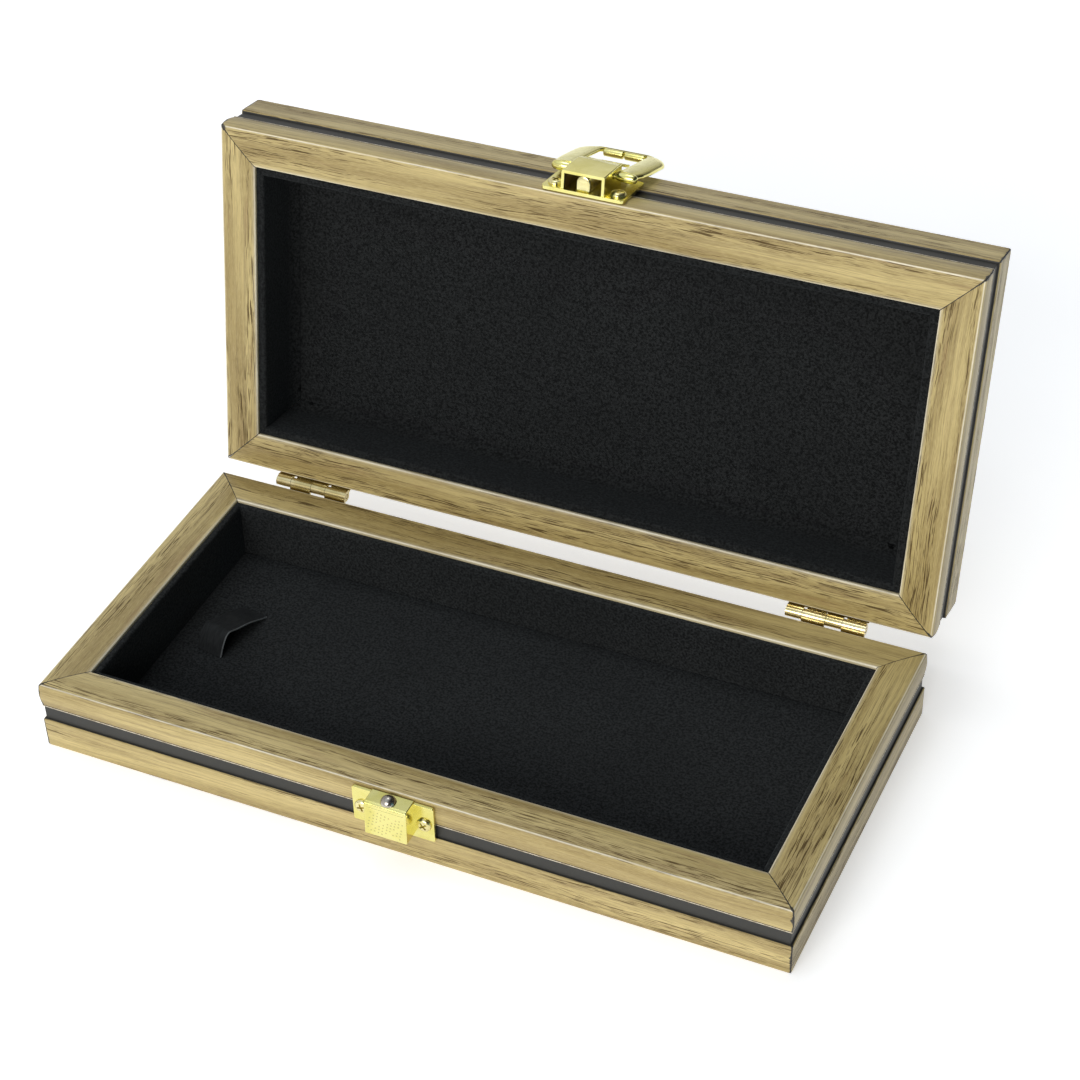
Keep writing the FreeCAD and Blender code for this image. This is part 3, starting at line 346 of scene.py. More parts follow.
def metal(name, base, deep, rough=(0.12, 0.26), bump=0.10, grain=900.0):
    """Plated sheet metal: soft blotches, faint tumbling marks."""
    n = Net(name)
    c = obj_coord(n)
    blot = n.noise(c, 130, 3.0, 0.55)
    fine = n.noise(c, grain, 3.0, 0.6)
    scr = n.noise(n.node("VectorMath", {"operation": "MULTIPLY"}, _0=c, _1=(300, 5200, 5200)).outputs[0],
                  1.0, 2.0, 0.5)
    col = n.mix(n.step(blot, 0.35, 0.70), base, deep)
    # painted shade in the catch face's dimples
    col = n.mix(n.math("MULTIPLY", n.attr("pit"), 0.60), col, tuple(0.50 * v for v in deep))
    n.set(Base_Color=col, Metallic=1.0)
    r = n.step(n.math("ADD", n.math("MULTIPLY", blot, 0.6), n.math("MULTIPLY", scr, 0.4)), 0.30, 0.70,
               rough[0], rough[1])
    n.set(Roughness=r)
    n.bump(n.math("ADD", fine, n.math("MULTIPLY", scr, 0.5)), bump, 0.00006)
    return n.m


def greyboard():
    n = Net("greyboard_card")
    c = obj_coord(n)
    a = n.noise(c, 1200, 4.0, 0.65)
    b = n.noise(n.node("VectorMath", {"operation": "MULTIPLY"}, _0=c, _1=(500, 2500, 2500)).outputs[0], 1.0, 2.0)
    col = n.mix(a, (0.16, 0.15, 0.13), (0.30, 0.285, 0.25))
    col = n.mix(n.step(b, 0.62, 0.75, 0.0, 0.5), col, (0.10, 0.09, 0.08))
    n.set(Base_Color=col, Roughness=0.9)
    n.bump(a, 0.5, 0.00008)
    return n.m


WOOD = laminate("laminate_oak", 0.0)
WOOD_PANEL = laminate("panel_oak", 40.0, 0.97)
GROOVE, EDGE_AND_HIGHLIGHT, CORE_AND_SHADOW = groove_black(), foil_edge_and_highlight(), core_fibre_and_shadow()
# one black felt in two copies: the base copy painted lighter and the lid copy painted darker, as painted light and
# shade
FELT_BASE = felt("felt_base_painted_lighter", 1.08, 0.05)
FELT_LID = felt("felt_lid_painted_darker", 0.78, 0.05)
RIBBON = ribbon_mat()
LATCH = metal("latch_gold_plate", (0.83, 0.765, 0.30), (0.74, 0.67, 0.205), (0.13, 0.24))
HINGE = metal("hinge_brass_plate", (0.71, 0.61, 0.35), (0.51, 0.42, 0.19), (0.14, 0.24), 0.03, 500.0)
# painted shade: dark metal standing in for the shade inside the latch housing
HOUSING_SHADE = metal("latch_inside_painted_shade", (0.26, 0.19, 0.07), (0.085, 0.058, 0.020), (0.30, 0.50), 0.3)
SCREW = metal("latch_screw_plate", (0.86, 0.79, 0.42), (0.70, 0.61, 0.27), (0.16, 0.30), 0.2)
STEEL = metal("rivet_steel", (0.50, 0.46, 0.40), (0.26, 0.235, 0.20), (0.18, 0.32), 0.35)
BOARD = greyboard()


# ------------------------------------------------------------- swept pieces
def sweep(name, sec, painted_highlight, emat, side, lid, mats, step=4.0, corner=0.0, chips=0.0, ripple=0.0,
          seam_w=0.26, replaces=None, seed=0, v0=0.0, flip_uv=False, cap_mat=0, sgrain=None,
          ends=(0.0, 0.12, 0.35, 0.9, 2.0, 4.5, 9.0, 14.0), flat_from=None, sharp=35.0):
    """Section (d inward, z) along one side of the frame, mitred at both ends."""
    place, half = side_place(side, lid)
    sec = np.asarray(sec, float)
    n = len(sec)
    seg = np.hypot(*(np.roll(sec, -1, 0) - sec).T)
    arc = np.concatenate([[0.0], np.cumsum(seg)])          # n + 1 values
    gap = 0.0566
    inner = half - RAIL - ends[-1] - 3.0
    k = max(2, int(round(2 * inner / step)))
    core = [-inner + 2 * inner * i / k for i in range(k + 1)]
    stations = [("e", -1, s) for s in ends] + [("c", 0, x) for x in core] + \
        [("e", 1, s) for s in reversed(ends)]
    co, seam, highlight_weights, gr = [], [], [], []
    for kind, sgn, val in stations:
        for j, (d, z) in enumerate(sec):
            dd, zz = d, z
            if kind == "c":
                x = val
            else:
                x = half - gap - d - val
                if corner and d < 3.2:
                    w = min(1.0, max(0.0, (3.2 - d) / 2.4))
                    for _ in range(4):
                        q = max(0.0, x - (half - corner))
                        e = corner - math.sqrt(max(corner * corner - q * q, 0.0))
                        dd = d + w * e
                        x = half - gap - dd - val
                if chips and d < 1.6 and val < 0.5:
                    c = nz(z * 0.9, 7.3 * sgn + seed * 3.1, 1.7) + 0.5 * nz(z * 3.1, 5.0 * sgn, seed)
                    x -= chips * max(0.0, c) * (1.0 if val == 0 else 0.6)
                x *= sgn
            if ripple:
                r = ripple * (nz(x * 0.035 + seed, z * 0.12, d * 0.2) + 0.5 * nz(x * 0.12, z * 0.3, seed + d * 0.3))
                if flat_from is None or z > flat_from:
                    dd, zz = dd + r * 0.7, zz - abs(r) * 0.6
            co.append((x, dd, zz))
            dist = val if kind == "e" else 99.0
            wide = seam_w * (1.0 + 0.7 * nz(z * 0.7, d * 0.55 + seed, 3.0) + 1.3 * max(0.0, 1.0 - d / 5.0))
            seam.append(max(0.0, 1.0 - dist / wide) if kind == "e" else 0.0)
            if chips and kind == "e" and d < 1.4:
                blot = max(0.0, nz(z * 0.45 + seed, sgn * 9.1, 4.4) + 0.10)
                seam[-1] = max(seam[-1], max(0.0, 1.0 - dist / (0.55 + 2.2 * blot)))
            gr.append(sgrain[j] if sgrain else 1.0)
            # painted highlight weight per vertex, varied along the length
            highlight_weights.append(painted_highlight[j] * (0.75 + 0.35 * nz(x * 0.09, seed + j * 0.01, 2.2)))
    faces, fm, uv = [], [], []
    m = len(stations)
    xs = np.array([c[0] for c in co]).reshape(m, n)
    for i in range(m - 1):
        for j in range(n):
            j2 = (j + 1) % n
            faces.append((i * n + j, (i + 1) * n + j, (i + 1) * n + j2, i * n + j2))
            fm.append(emat[j])
            for (a, b) in ((i, j), (i + 1, j), (i + 1, j2), (i, j2)):
                vv = arc[j + 1] if (b == j2) else arc[j]
                uv.append((xs[a, b] * 0.001 + seed * 0.37, vv * 0.001 + v0))
    for i in (0, m - 1):
        faces.append(tuple(i * n + j for j in range(n)))
        fm.append(cap_mat)
        for j in range(n):
            uv.append((sec[j][0] * 0.001, sec[j][1] * 0.001))
    return make(name, co, faces, mats, place, uv, fm, {"seam": seam, "painted_highlight": highlight_weights, "grain": gr}, BODY[lid],
                replaces or (), sharp=sharp)


def rail_section():
    """Moulding profile with the painted highlight on its crests and which face is what."""
    pts, mat, painted_highlight, grain = [(0.40, 0.0)], [], [], []

    def add(new, m):
        for p in new:
            pts.append(p)
            mat.append(m)
    add(arc3((0.40, 0.0), (0.18, 0.28), (0.1, 0.9), 5), 0)
    add(line((0.1, 0.9), (0.1, 10.55), 5), 0)
    add(arc3((0.1, 10.55), (0.20, 10.90), (0.45, 11.05), 4), 0)
    add([(0.62, 11.1), (0.95, 11.13)], 1)
    add([(0.95, 16.22)], 1)
    add([(0.64, 16.24)], 1)
    add([(0.50, 16.40)], 2)                     # cut edge of the foil, its pale colour partly a painted highlight
    add([(0.54, 16.66)], 2)
    add([(0.60, 16.70)], 3)                     # painted shadow line where the foil lifts: the dark core material on the crease
    add([(0.56, 16.94)], 3)
    add(arc3((0.56, 16.94), (0.25, 18.8), (0.1, 21.0), 7), 0)
    add(arc3((0.1, 21.0), (0.18, 22.75), (0.42, 24.5), 7), 0)
    add(arc3((0.42, 24.5), (0.60, 24.93), (1.1, 25.15), 7), 0)
    add([(1.32, 25.185)], 0)
    add(arc3((1.32, 25.185), (6.5, 25.40), (11.95, 24.96), 12), 0)
    add(arc3((11.95, 24.96), (12.36, 24.80), (12.5, 24.4), 5), 0)
    add([(12.5, 21.0)], 0)
    add([(12.5, 3.0)], 3)
    add([(6.5, 3.0)], 3)
    add([(6.5, 0.0)], 3)
    mat.append(0)                               # back to the foot
    for d, z in pts:
        w = 0.0
        # painted highlight: narrow pale bands on the outer crest and on the inner eased edge
        if z > 22:
            w = max(w, math.exp(-((math.hypot(d - 0.80, z - 25.08) / 0.19) ** 2)))
            q = math.hypot(d - 12.42, z - 24.75)
            w = max(w, math.exp(-((q / 0.42) ** 2)))
        painted_highlight.append(w)
        grain.append(0.38 if 16 < z < 24.9 and d < 1.0 else 1.0)
    return pts, mat, painted_highlight, grain


RSEC, RMAT, RHIGHLIGHT, RGRAIN = rail_section()
for lid in (False, True):
    for i, side in enumerate(("front", "back", "left", "right")):
        node = "%s_rail_%s" % (BODY[lid], side)
        seed = i + (4 if lid else 0)
        sweep(node + "_foil", RSEC, RHIGHLIGHT, RMAT, side, lid, [WOOD, GROOVE, EDGE_AND_HIGHLIGHT, CORE_AND_SHADOW], corner=0.9,
              chips=0.22, replaces=(node,), seed=seed, v0=0.041 * seed, cap_mat=3,
              sgrain=RGRAIN)


def liner_section(lid):
    if lid:
        y0, y1, y2, top = 12.51, 15.3, 17.8, 24.0
        pts = [(y0, 3.0), (y0, top - 0.25)]
        pts += arc3((y0, top - 0.25), (y0 + 0.08, top - 0.07), (y0 + 0.3, top), 2)
        pts += line(pts[-1], (y1 - 0.75, top), 2)
        pts += arc3((y1 - 0.75, top), (y1 - 0.21, top - 0.21), (y1, top - 0.75), 5)
        pts += line((y1, top - 0.75), (y1, 9.0), 5)
        pts += arc3((y1, 9.0), (y1 + 0.62, 6.35), (y2, 4.6), 8)
        pts += [(y2, 3.0)]
    else:
        y0, y1, top = 12.51, 14.5, 24.0
        pts = [(y0, 3.0), (y0, top - 0.25)]
        pts += arc3((y0, top - 0.25), (y0 + 0.08, top - 0.07), (y0 + 0.3, top), 2)
        pts += line(pts[-1], (y1 - 0.75, top), 1)
        pts += arc3((y1 - 0.75, top), (y1 - 0.21, top - 0.21), (y1, top - 0.75), 5)
        pts += line((y1, top - 0.75), (y1, 4.9), 7)
        pts += [(y1, 3.0)]
    return pts


for lid in (False, True):
    sec = liner_section(lid)
    for i, side in enumerate(("front", "back", "left", "right")):
        node = "%s_liner_%s" % (BODY[lid], side)
        sweep(node + "_felt", sec, [0.0] * len(sec), [0] * len(sec), side, lid,
              [FELT_LID if lid else FELT_BASE], step=3.0, ripple=0.05, replaces=(node,),
              seed=i + 9 * lid, seam_w=0.0001, flat_from=5.2,
              ends=(0.0, 0.25, 0.7, 1.6, 3.0, 5.5), sharp=60.0)


def slab(name, hx, hy, z0, z1, mats, lid, nx, ny, edge=0.3, corner=0.0, ripple=0.0, replaces=(),
         seed=0, body=None, under=None):
    """Rectangular sheet or board with eased edges, lying at z0..z1."""
    place = OPEN @ FLIP if lid else None

    def axis(h, n):
        e = [-h, -h + 0.3 * edge, -h + edge]
        mid = np.linspace(-h + edge, h - edge, n + 1)[1:-1].tolist()
        return e + mid + [-v for v in reversed(e)]
    X, Y = axis(hx, nx), axis(hy, ny)
    drop = {0: edge * 0.9, 1: edge * 0.28}
    co = []
    for j, y in enumerate(Y):
        for i, x in enumerate(X):
            r = min(i, j, len(X) - 1 - i, len(Y) - 1 - j)
            px, py = x, y
            if corner:
                dx, dy = abs(x) - (hx - corner), abs(y) - (hy - corner)
                if dx > 0 and dy > 0:
                    s = max(dx, dy) / math.hypot(dx, dy)
                    px = math.copysign(hx - corner + dx * s, x)
                    py = math.copysign(hy - corner + dy * s, y)
            z = z1 - drop.get(r, 0.0)
            if ripple and r > 1:
                z -= ripple * abs(nz(px * 0.05 + seed, py * 0.05, 1.0) + 0.4 * nz(px * 0.21, py * 0.21, seed))
            co.append((px, py, z))
    W, H = len(X), len(Y)
    faces, uv = [], []

    def quad(*ids):
        faces.append(ids)
        for q in ids:
            uv.append((co[q][0] * 0.001 + 0.11 * seed, co[q][1] * 0.001 + 0.05 * seed))
    for j in range(H - 1):
        for i in range(W - 1):
            quad(j * W + i, j * W + i + 1, (j + 1) * W + i + 1, (j + 1) * W + i)
    ring = [i for i in range(W)] + [j * W + W - 1 for j in range(1, H)] + \
        [(H - 1) * W + i for i in range(W - 2, -1, -1)] + [j * W for j in range(H - 2, 0, -1)]
    low = []
    for q in ring:
        low.append(len(co))
        co.append((co[q][0], co[q][1], z0))
    for k in range(len(ring)):
        k2 = (k + 1) % len(ring)
        quad(ring[k2], ring[k], low[k], low[k2])
    quad(*reversed(low))
    n = len(co)
    return make(name, co, faces, mats, place, uv, None, {"seam": [0.0] * n, "painted_highlight": [0.0] * n, "grain": [1.0] * n},
                body or BODY[lid], replaces, sharp=50.0)


slab("base_bottom_panel_oak", 118.45, 53.45, 0.0, 2.98, [WOOD_PANEL], False, 8, 4, 0.25,
     replaces=("base_bottom_panel",), seed=3)
slab("lid_top_panel_oak", 118.45, 53.45, 0.0, 2.98, [WOOD_PANEL], True, 8, 4, 0.25,
     replaces=("lid_top_panel",), seed=5)
floor_felt = slab("floor_felt_sheet", 110.2, 45.2, 4.2, 4.7, [FELT_BASE], False, 110, 46, 0.28, 1.0, 0.10,
                  replaces=("floor_felt",), seed=1, body="floor_insert")
lid_felt = slab("lid_panel_felt_sheet", 107.15, 42.15, 3.9, 4.4, [FELT_LID], True, 110, 44, 0.2, 0.0, 0.10,
                replaces=("lid_panel_felt",), seed=2)


# ------------------------------------------------------------- ribbon tab
def ribbon():
    p0, p1, p2 = Vector((0.3, 0.0)), Vector((5.0, 7.6)), Vector((24.6, 0.0))
    r = 2.6
    u, w = (p1 - p0).normalized(), (p2 - p1).normalized()
    ang = math.acos(u.dot(w))
    cut = r * math.tan(ang / 2)
    a, c = p1 - u * cut, p1 + w * cut
    cen = Vector((a.x + u.y * r, a.y - u.x * r))
    t0 = math.atan2(a.y - cen.y, a.x - cen.x)
    line_pts = []
    for k in range(12):
        line_pts.append(p0 + (a - p0) * k / 12)
    for k in range(12):
        t = t0 - ang * k / 12
        line_pts.append(cen + Vector((math.cos(t), math.sin(t))) * r)
    for k in range(37):
        line_pts.append(c + (p2 - c) * k / 36)
    L = [0.0]
    for a_, b_ in zip(line_pts, line_pts[1:]):
        L.append(L[-1] + (b_ - a_).length)
    total = L[-1]
    # gentle spring in the long slope and a little slack at the foot
    pts = []
    for s, p in zip(L, line_pts):
        q = s / total
        lift = 0.55 * math.sin(math.pi * min(1.0, max(0.0, (q - 0.42) / 0.55))) ** 2
        back = -0.35 * math.sin(math.pi * min(1.0, q / 0.30)) ** 2
        pts.append(Vector((p.x + back, max(p.y, 0.0) + lift)))
    cols = 21
    half_w, t = 4.95, 0.19
    co, edge_highlight_mask, uvp = [], [], []
    for i, p in enumerate(pts):
        a_ = pts[max(0, i - 1)]
        b_ = pts[min(len(pts) - 1, i + 1)]
        d = (b_ - a_).normalized()
        nrm = Vector((-d.y, d.x))
        q = L[i] / total
        for layer in (0, 1):
            for j in range(cols):
                x = -half_w + 2 * half_w * j / (cols - 1)
                e = abs(x) / half_w
                thick = t + (0.07 if e > 0.93 else 0.0) - (0.08 if j in (0, cols - 1) else 0.0)
                cup = -0.22 * e * e * math.sin(math.pi * q) + 0.10 * nz(x * 0.35, q * 4.0, 2.0)
                edge_in = 0.10 * nz(0.0, q * 9.0, j * 0.2) if j in (0, cols - 1) else 0.0
                off = cup + (thick if layer == 0 else -thick)
                z = max(p.y + nrm.y * off, 0.02 if layer else 0.30 if i in (0, len(pts) - 1) else 0.06)
                co.append((x + edge_in, p.x + nrm.x * off, z))
                # painted highlight mask: only the right edge
                edge_highlight_mask.append(1.0 if x > 0.90 * half_w else 0.0)
                uvp.append((L[i] * 0.001, x * 0.001))
    faces, uv = [], []
    n = len(pts)

    def vid(i, layer, j):
        return (i * 2 + layer) * cols + j

    def quad(*ids):
        faces.append(ids)
        for q in ids:
            uv.append(uvp[q])
    for i in range(n - 1):
        for j in range(cols - 1):
            quad(vid(i, 0, j), vid(i, 0, j + 1), vid(i + 1, 0, j + 1), vid(i + 1, 0, j))
            quad(vid(i, 1, j), vid(i + 1, 1, j), vid(i + 1, 1, j + 1), vid(i, 1, j + 1))
        for j in (0, cols - 1):
            quad(vid(i, 0, j), vid(i + 1, 0, j), vid(i + 1, 1, j), vid(i, 1, j))
    for i in (0, n - 1):
        for j in range(cols - 1):
            quad(vid(i, 0, j), vid(i, 1, j), vid(i, 1, j + 1), vid(i, 0, j + 1))
    place = move(-95.8, -6.0, 4.7) @ rot_z(-9.8)
    o = make("ribbon_tab", co, faces, [RIBBON], place, uv, None, {"edge_highlight": edge_highlight_mask}, "floor_insert",
             ("ribbon_pull",), sharp=60.0)
    return o


ribbon()


# ------------------------------------------------------------- metal pieces
def from_cad(name, node, mat, body, width=0.12, segments=2, angle=28.0, inside=None):
    """Copy of a CAD node whose sharp sheet-metal edges are eased."""
    src = NODES[node].data
    me = src.copy()
    me.name = name
    me.materials.clear()
    me.materials.append(mat)
    for key in ("custom_normal", "sharp_edge", "sharp_face"):
        if key in me.attributes:
            me.attributes.remove(me.attributes[key])
    bm = bmesh.new()
    bm.from_mesh(me)
    bmesh.ops.remove_doubles(bm, verts=bm.verts, dist=2e-6)
    bmesh.ops.dissolve_limit(bm, angle_limit=math.radians(0.6), verts=bm.verts, edges=bm.edges)
    bmesh.ops.recalc_face_normals(bm, faces=bm.faces)
    bm.to_mesh(me)
    bm.free()
    me.shade_smooth()
    o = bpy.data.objects.new(name, me)
    bpy.context.scene.collection.objects.link(o)
    b = o.modifiers.new("ease", "BEVEL")
    b.width, b.segments, b.limit_method = width * 0.001, segments, "ANGLE"
    b.angle_limit = math.radians(angle)
    b.use_clamp_overlap = True
    b.miter_outer = "MITER_ARC"
    b.harden_normals = False
    wn = o.modifiers.new("flats", "WEIGHTED_NORMAL")
    wn.weight, wn.keep_sharp = 80, False
    dg = bpy.context.evaluated_depsgraph_get()
    new = bpy.data.meshes.new_from_object(o.evaluated_get(dg))
    new.name = name
    o.modifiers.clear()
    o.data = new
    idx = np.zeros(len(new.polygons), np.int32)
    # painted shade: faces inside the housing get the dark shade material
    if inside is not None:
        place, (hx, r0, r1, z0, z1), shade_mat = inside
        back = place.inverted()
        new.materials.append(shade_mat)
        for q, f in enumerate(new.polygons):
            c = back @ (f.center * 1000.0)
            if abs(c.x) < hx and r0 < -c.y - HALF_W < r1 and z0 < c.z < z1:
                idx[q] = 1
    new.polygons.foreach_set("material_index", idx)
    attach(o, body)
    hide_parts(node)
    return o


for side in ("left", "right"):
    for body in ("base", "lid"):
        node = "hinge_%s_%s_leaf" % (side, body)
        from_cad(node + "_brass", node, HINGE, body, 0.22, 3)
from_cad("latch_plate_gold", "latch_plate", LATCH, "lid", 0.26, 3,
         inside=(OPEN, (6.12, 1.10, 6.12, 26.6, 40.2), HOUSING_SHADE))
from_cad("latch_catch_gold", "latch_catch", LATCH, "base", 0.24, 3)


def catch_face():
    """Stamped face of the hood's flap: a thin raised field with slanting rows
    of small round dimples, each painted darker as shade."""
    nx, ny = 66, 50
    z_low, z_high, hx = 12.75, 23.05, 6.62
    dots = []
    for r in range(7):
        for c in range(11):
            cx = -5.9 + 1.18 * c + 0.22 * r
            cz = 14.0 + 1.22 * r + 0.32 * math.sin(c * 0.8) - 0.20 * c * 0.35
            if abs(cx) < 5.9 and 13.5 < cz < 22.2 and (r * 7 + c * 3) % 5 != 0:
                dots.append((cx + 0.12 * nz(r * 3.3, c * 2.1, 1.0), cz + 0.12 * nz(c * 1.7, r * 2.9, 5.0)))
    co, pit = [], []
    for j in range(ny + 1):
        for i in range(nx + 1):
            x = -hx + 2 * hx * i / nx
            z = z_low + (z_high - z_low) * j / ny
            reach = 6.2 + 0.5 * (23.3 - z) / (23.3 - 12.4)
            border = min(i, j, nx - i, ny - j)
            lift = {0: -0.05, 1: 0.07}.get(border, 0.12)
            # painted shade: each dimple is marked darker towards its centre
            dark = 0.0
            for cx, cz in dots:
                q = math.hypot(x - cx, z - cz) / 0.34
                if q < 1.0:
                    lift -= 0.10 * (1.0 - q * q)
                    dark = max(dark, min(1.0, 1.5 * (1.0 - q * q)))
            co.append((x, -HALF_W - reach - lift, z))
            pit.append(dark)
    faces = [(j * (nx + 1) + i, j * (nx + 1) + i + 1, (j + 1) * (nx + 1) + i + 1, (j + 1) * (nx + 1) + i)
             for j in range(ny) for i in range(nx)]
    n0 = len(co)
    rim = [i for i in range(nx + 1)] + [j * (nx + 1) + nx for j in range(1, ny + 1)] + \
        [ny * (nx + 1) + i for i in range(nx - 1, -1, -1)] + [j * (nx + 1) for j in range(ny - 1, 0, -1)]
    for q in rim:
        co.append((co[q][0], co[q][1] + 0.25, co[q][2]))
        pit.append(0.0)
    m = len(rim)
    for k in range(m):
        k2 = (k + 1) % m
        faces.append((rim[k], rim[k2], n0 + k2, n0 + k))
    faces.append(tuple(n0 + k for k in range(m)))
    return make("latch_catch_stamped_face", co, faces, [LATCH], None, None, None, {"pit": pit}, "base", (),
                sharp=50.0)


def lathe_x(name, profile, place, mat, body, seg=28):
    """Turn a closed run of (x, r) about the x axis; both ends at r = 0."""
    co, faces = [], []
    for x, r in profile:
        if r <= 1e-9:
            co.append([(x, 0.0, 0.0)])
        else:
            co.append([(x, r * math.cos(2 * math.pi * k / seg), r * math.sin(2 * math.pi * k / seg))
                       for k in range(seg)])
    flat, start = [], []
    for ring in co:
        start.append(len(flat))
        flat += ring
    for a_, b_ in zip(range(len(co) - 1), range(1, len(co))):
        na, nb = len(co[a_]), len(co[b_])
        for k in range(seg):
            k2 = (k + 1) % seg
            if na == 1:
                faces.append((start[a_], start[b_] + k, start[b_] + k2))
            elif nb == 1:
                faces.append((start[a_] + k, start[b_], start[a_] + k2))
            else:
                faces.append((start[a_] + k, start[b_] + k, start[b_] + k2, start[a_] + k2))
    return make(name, flat, faces, [mat], place, None, None, None, body, (), sharp=60.0)


catch_face()
PIVOT = OPEN @ move(0, -HALF_W - 4.5, 35.5)
LOOP = PIVOT @ Matrix.Rotation(math.radians(90 - 8.0), 4, "X")


def bead(x0, x1, r, e0, e1):
    """Rounded barrel profile between x0 and x1."""
    out = [(x0, 0.0)]
    for k in range(1, 8):
        t = math.pi / 2 * k / 7
        out.append((x0 + e0 * (1 - math.cos(t)), r * (0.35 + 0.65 * math.sin(t))))
    mid0, mid1 = x0 + e0, x1 - e1
    for k in range(1, 6):
        q = k / 6
        out.append((mid0 + (mid1 - mid0) * q, r * (1.0 + 0.035 * math.sin(math.pi * q))))
    for k in range(8):
        t = math.pi / 2 * (1 - k / 7)
        if k < 7:
            out.append((x1 - e1 * (1 - math.cos(t)), r * (0.05 + 0.95 * math.sin(t))))
    out.append((x1, 0.0))
    return out


def loop_plate():
    """The loop: two arms and a broad rounded end round the window, pressed
    from sheet with rolled-over edges.  Local frame: y from the pin, z outward."""
    outer = line((13.55, 0.5), (14.45, 4.0), 5) + line((14.45, 4.0), (14.8, 9.0), 6) + \
        line((14.8, 9.0), (14.8, 19.2), 8) + arc3((14.8, 19.2), (12.6, 24.5), (7.3, 26.7), 22) + \
        line((7.3, 26.7), (0.0, 26.7), 8)
    corner = line((7.6, 19.2), (7.6, 22.6), 9) + \
        arc3((7.6, 22.6), (7.35, 23.75), (6.9, 24.75), 13)
    inner = line((7.30, 0.5), (7.6, 4.0), 5) + line((7.6, 4.0), (7.6, 9.0), 6) + \
        line((7.6, 9.0), (7.6, 19.2), 8) + corner + line((6.9, 24.75), (0.0, 24.75), 8)
    outer, inner = [(13.55, 0.5)] + outer, [(7.30, 0.5)] + inner
    path = [(i, o) for i, o in zip(inner, outer)]
    path += [((-i[0], i[1]), (-o[0], o[1])) for i, o in reversed(path[:-1])]
    co, rows = [], 0
    for k, (i, o) in enumerate(path):
        L = math.hypot(o[0] - i[0], o[1] - i[1])
        wx, wy = (o[0] - i[0]) / L, (o[1] - i[1]) / L
        prof = [(0.0, 0.75), (0.04, 1.08), (0.18, 1.36), (0.42, 1.52), (0.8, 1.58),
                (0.30 * L, 1.62), (0.55 * L, 1.60), (L - 1.9, 1.50), (L - 1.15, 1.34), (L - 0.6, 1.08),
                (L - 0.24, 0.74), (L - 0.05, 0.38), (L, 0.05), (L - 0.06, -0.20), (L - 0.28, -0.30),
                (L - 0.55, -0.18), (L - 0.85, 0.12), (L - 1.3, 0.33), (0.5 * L, 0.37), (0.7, 0.37),
                (0.25, 0.40), (0.06, 0.52)]
        for q, z in prof:
            co.append((i[0] + wx * q, i[1] + wy * q, z))
        rows = len(prof)
    faces = []
    n = len(path)
    for k in range(n - 1):
        for j in range(rows):
            j2 = (j + 1) % rows
            faces.append((k * rows + j, (k + 1) * rows + j, (k + 1) * rows + j2, k * rows + j2))
    faces.append(tuple(range(rows)))
    faces.append(tuple((n - 1) * rows + j for j in reversed(range(rows))))
    return make("latch_loop_plate", co, faces, [LATCH], LOOP, None, None, None, "loop",
                ("latch_loop",), sharp=55.0)


loop_plate()
for sgn, tag in ((-1, "left"), (1, "right")):
    prof = [(7.35, 0.0), (7.35, 0.80), (7.5, 1.05), (8.0, 1.26), (8.9, 1.44), (10.0, 1.54), (11.2, 1.56),
            (12.3, 1.47), (13.1, 1.28), (13.6, 1.02), (13.85, 0.70), (13.95, 0.35), (13.97, 0.0)]
    prof = [(sgn * x, r) for x, r in prof]
    lathe_x("latch_loop_eye_%s" % tag, prof, LOOP, LATCH, "loop")
    bar = bead(0.14, 6.95, 1.22, 0.45, 0.45)
    bar = [(sgn * x, r) for x, r in bar]
    lathe_x("latch_loop_roll_%s" % tag, bar, LOOP @ move(0, 24.43, 0.30), LATCH, "loop", 20)


def tongue():
    """The spring in the housing: a flat strip on the plate whose end stands up
    as an arched, slightly domed tongue facing the opening."""
    def arch(k_side=6, k_arc=16, hw=2.20, foot=1.02, spring=3.85, top=6.02):
        pts = line((-hw, foot), (hw, foot), k_side)
        pts += line((hw, foot), (hw, spring), k_side)
        pts += arc3((hw, spring), (0.0, top), (-hw, spring), k_arc)
        pts += line((-hw, spring), (-hw, foot), k_side)
        return pts
    ring = arch()
    cx, cr = 0.0, 3.3
    co = [(cx, -cr, 26.72)]
    shells = ((0.35, 26.73), (0.65, 26.78), (0.84, 26.86), (0.94, 26.95), (1.0, 27.12), (1.0, 27.35),
              (0.94, 27.45), (0.5, 27.45))
    for q, z in shells:
        for x, r in ring:
            co.append((cx + (x - cx) * q, -(cr + (r - cr) * q), z))
    m = len(ring)
    faces = [(0, 1 + k, 1 + (k + 1) % m) for k in range(m)]
    for a_ in range(len(shells) - 1):
        for k in range(m):
            k2 = (k + 1) % m
            faces.append((1 + a_ * m + k, 1 + (a_ + 1) * m + k, 1 + (a_ + 1) * m + k2, 1 + a_ * m + k2))
    faces.append(tuple(1 + (len(shells) - 1) * m + k for k in range(m)))
    n0 = len(co)
    # strip back along the plate to the pin
    xs = (-2.1, -1.95, 1.95, 2.1)
    zs = (27.2, 29.0, 32.0, 36.0, 39.6)
    for z in zs:
        for x, y in ((-2.1, -1.02), (-2.1, -1.30), (-1.95, -1.42), (1.95, -1.42), (2.1, -1.30), (2.1, -1.02)):
            co.append((x, y, z))
    for a_ in range(len(zs) - 1):
        for k in range(6):
            k2 = (k + 1) % 6
            faces.append((n0 + a_ * 6 + k, n0 + a_ * 6 + k2, n0 + (a_ + 1) * 6 + k2, n0 + (a_ + 1) * 6 + k))
    faces.append(tuple(n0 + k for k in reversed(range(6))))
    faces.append(tuple(n0 + (len(zs) - 1) * 6 + k for k in range(6)))
    return make("latch_spring_tongue", co, faces, [SCREW], OPEN @ move(0, -HALF_W, 0), None, None, None,
                "lid", ("latch_spring",), sharp=50.0)


tongue()

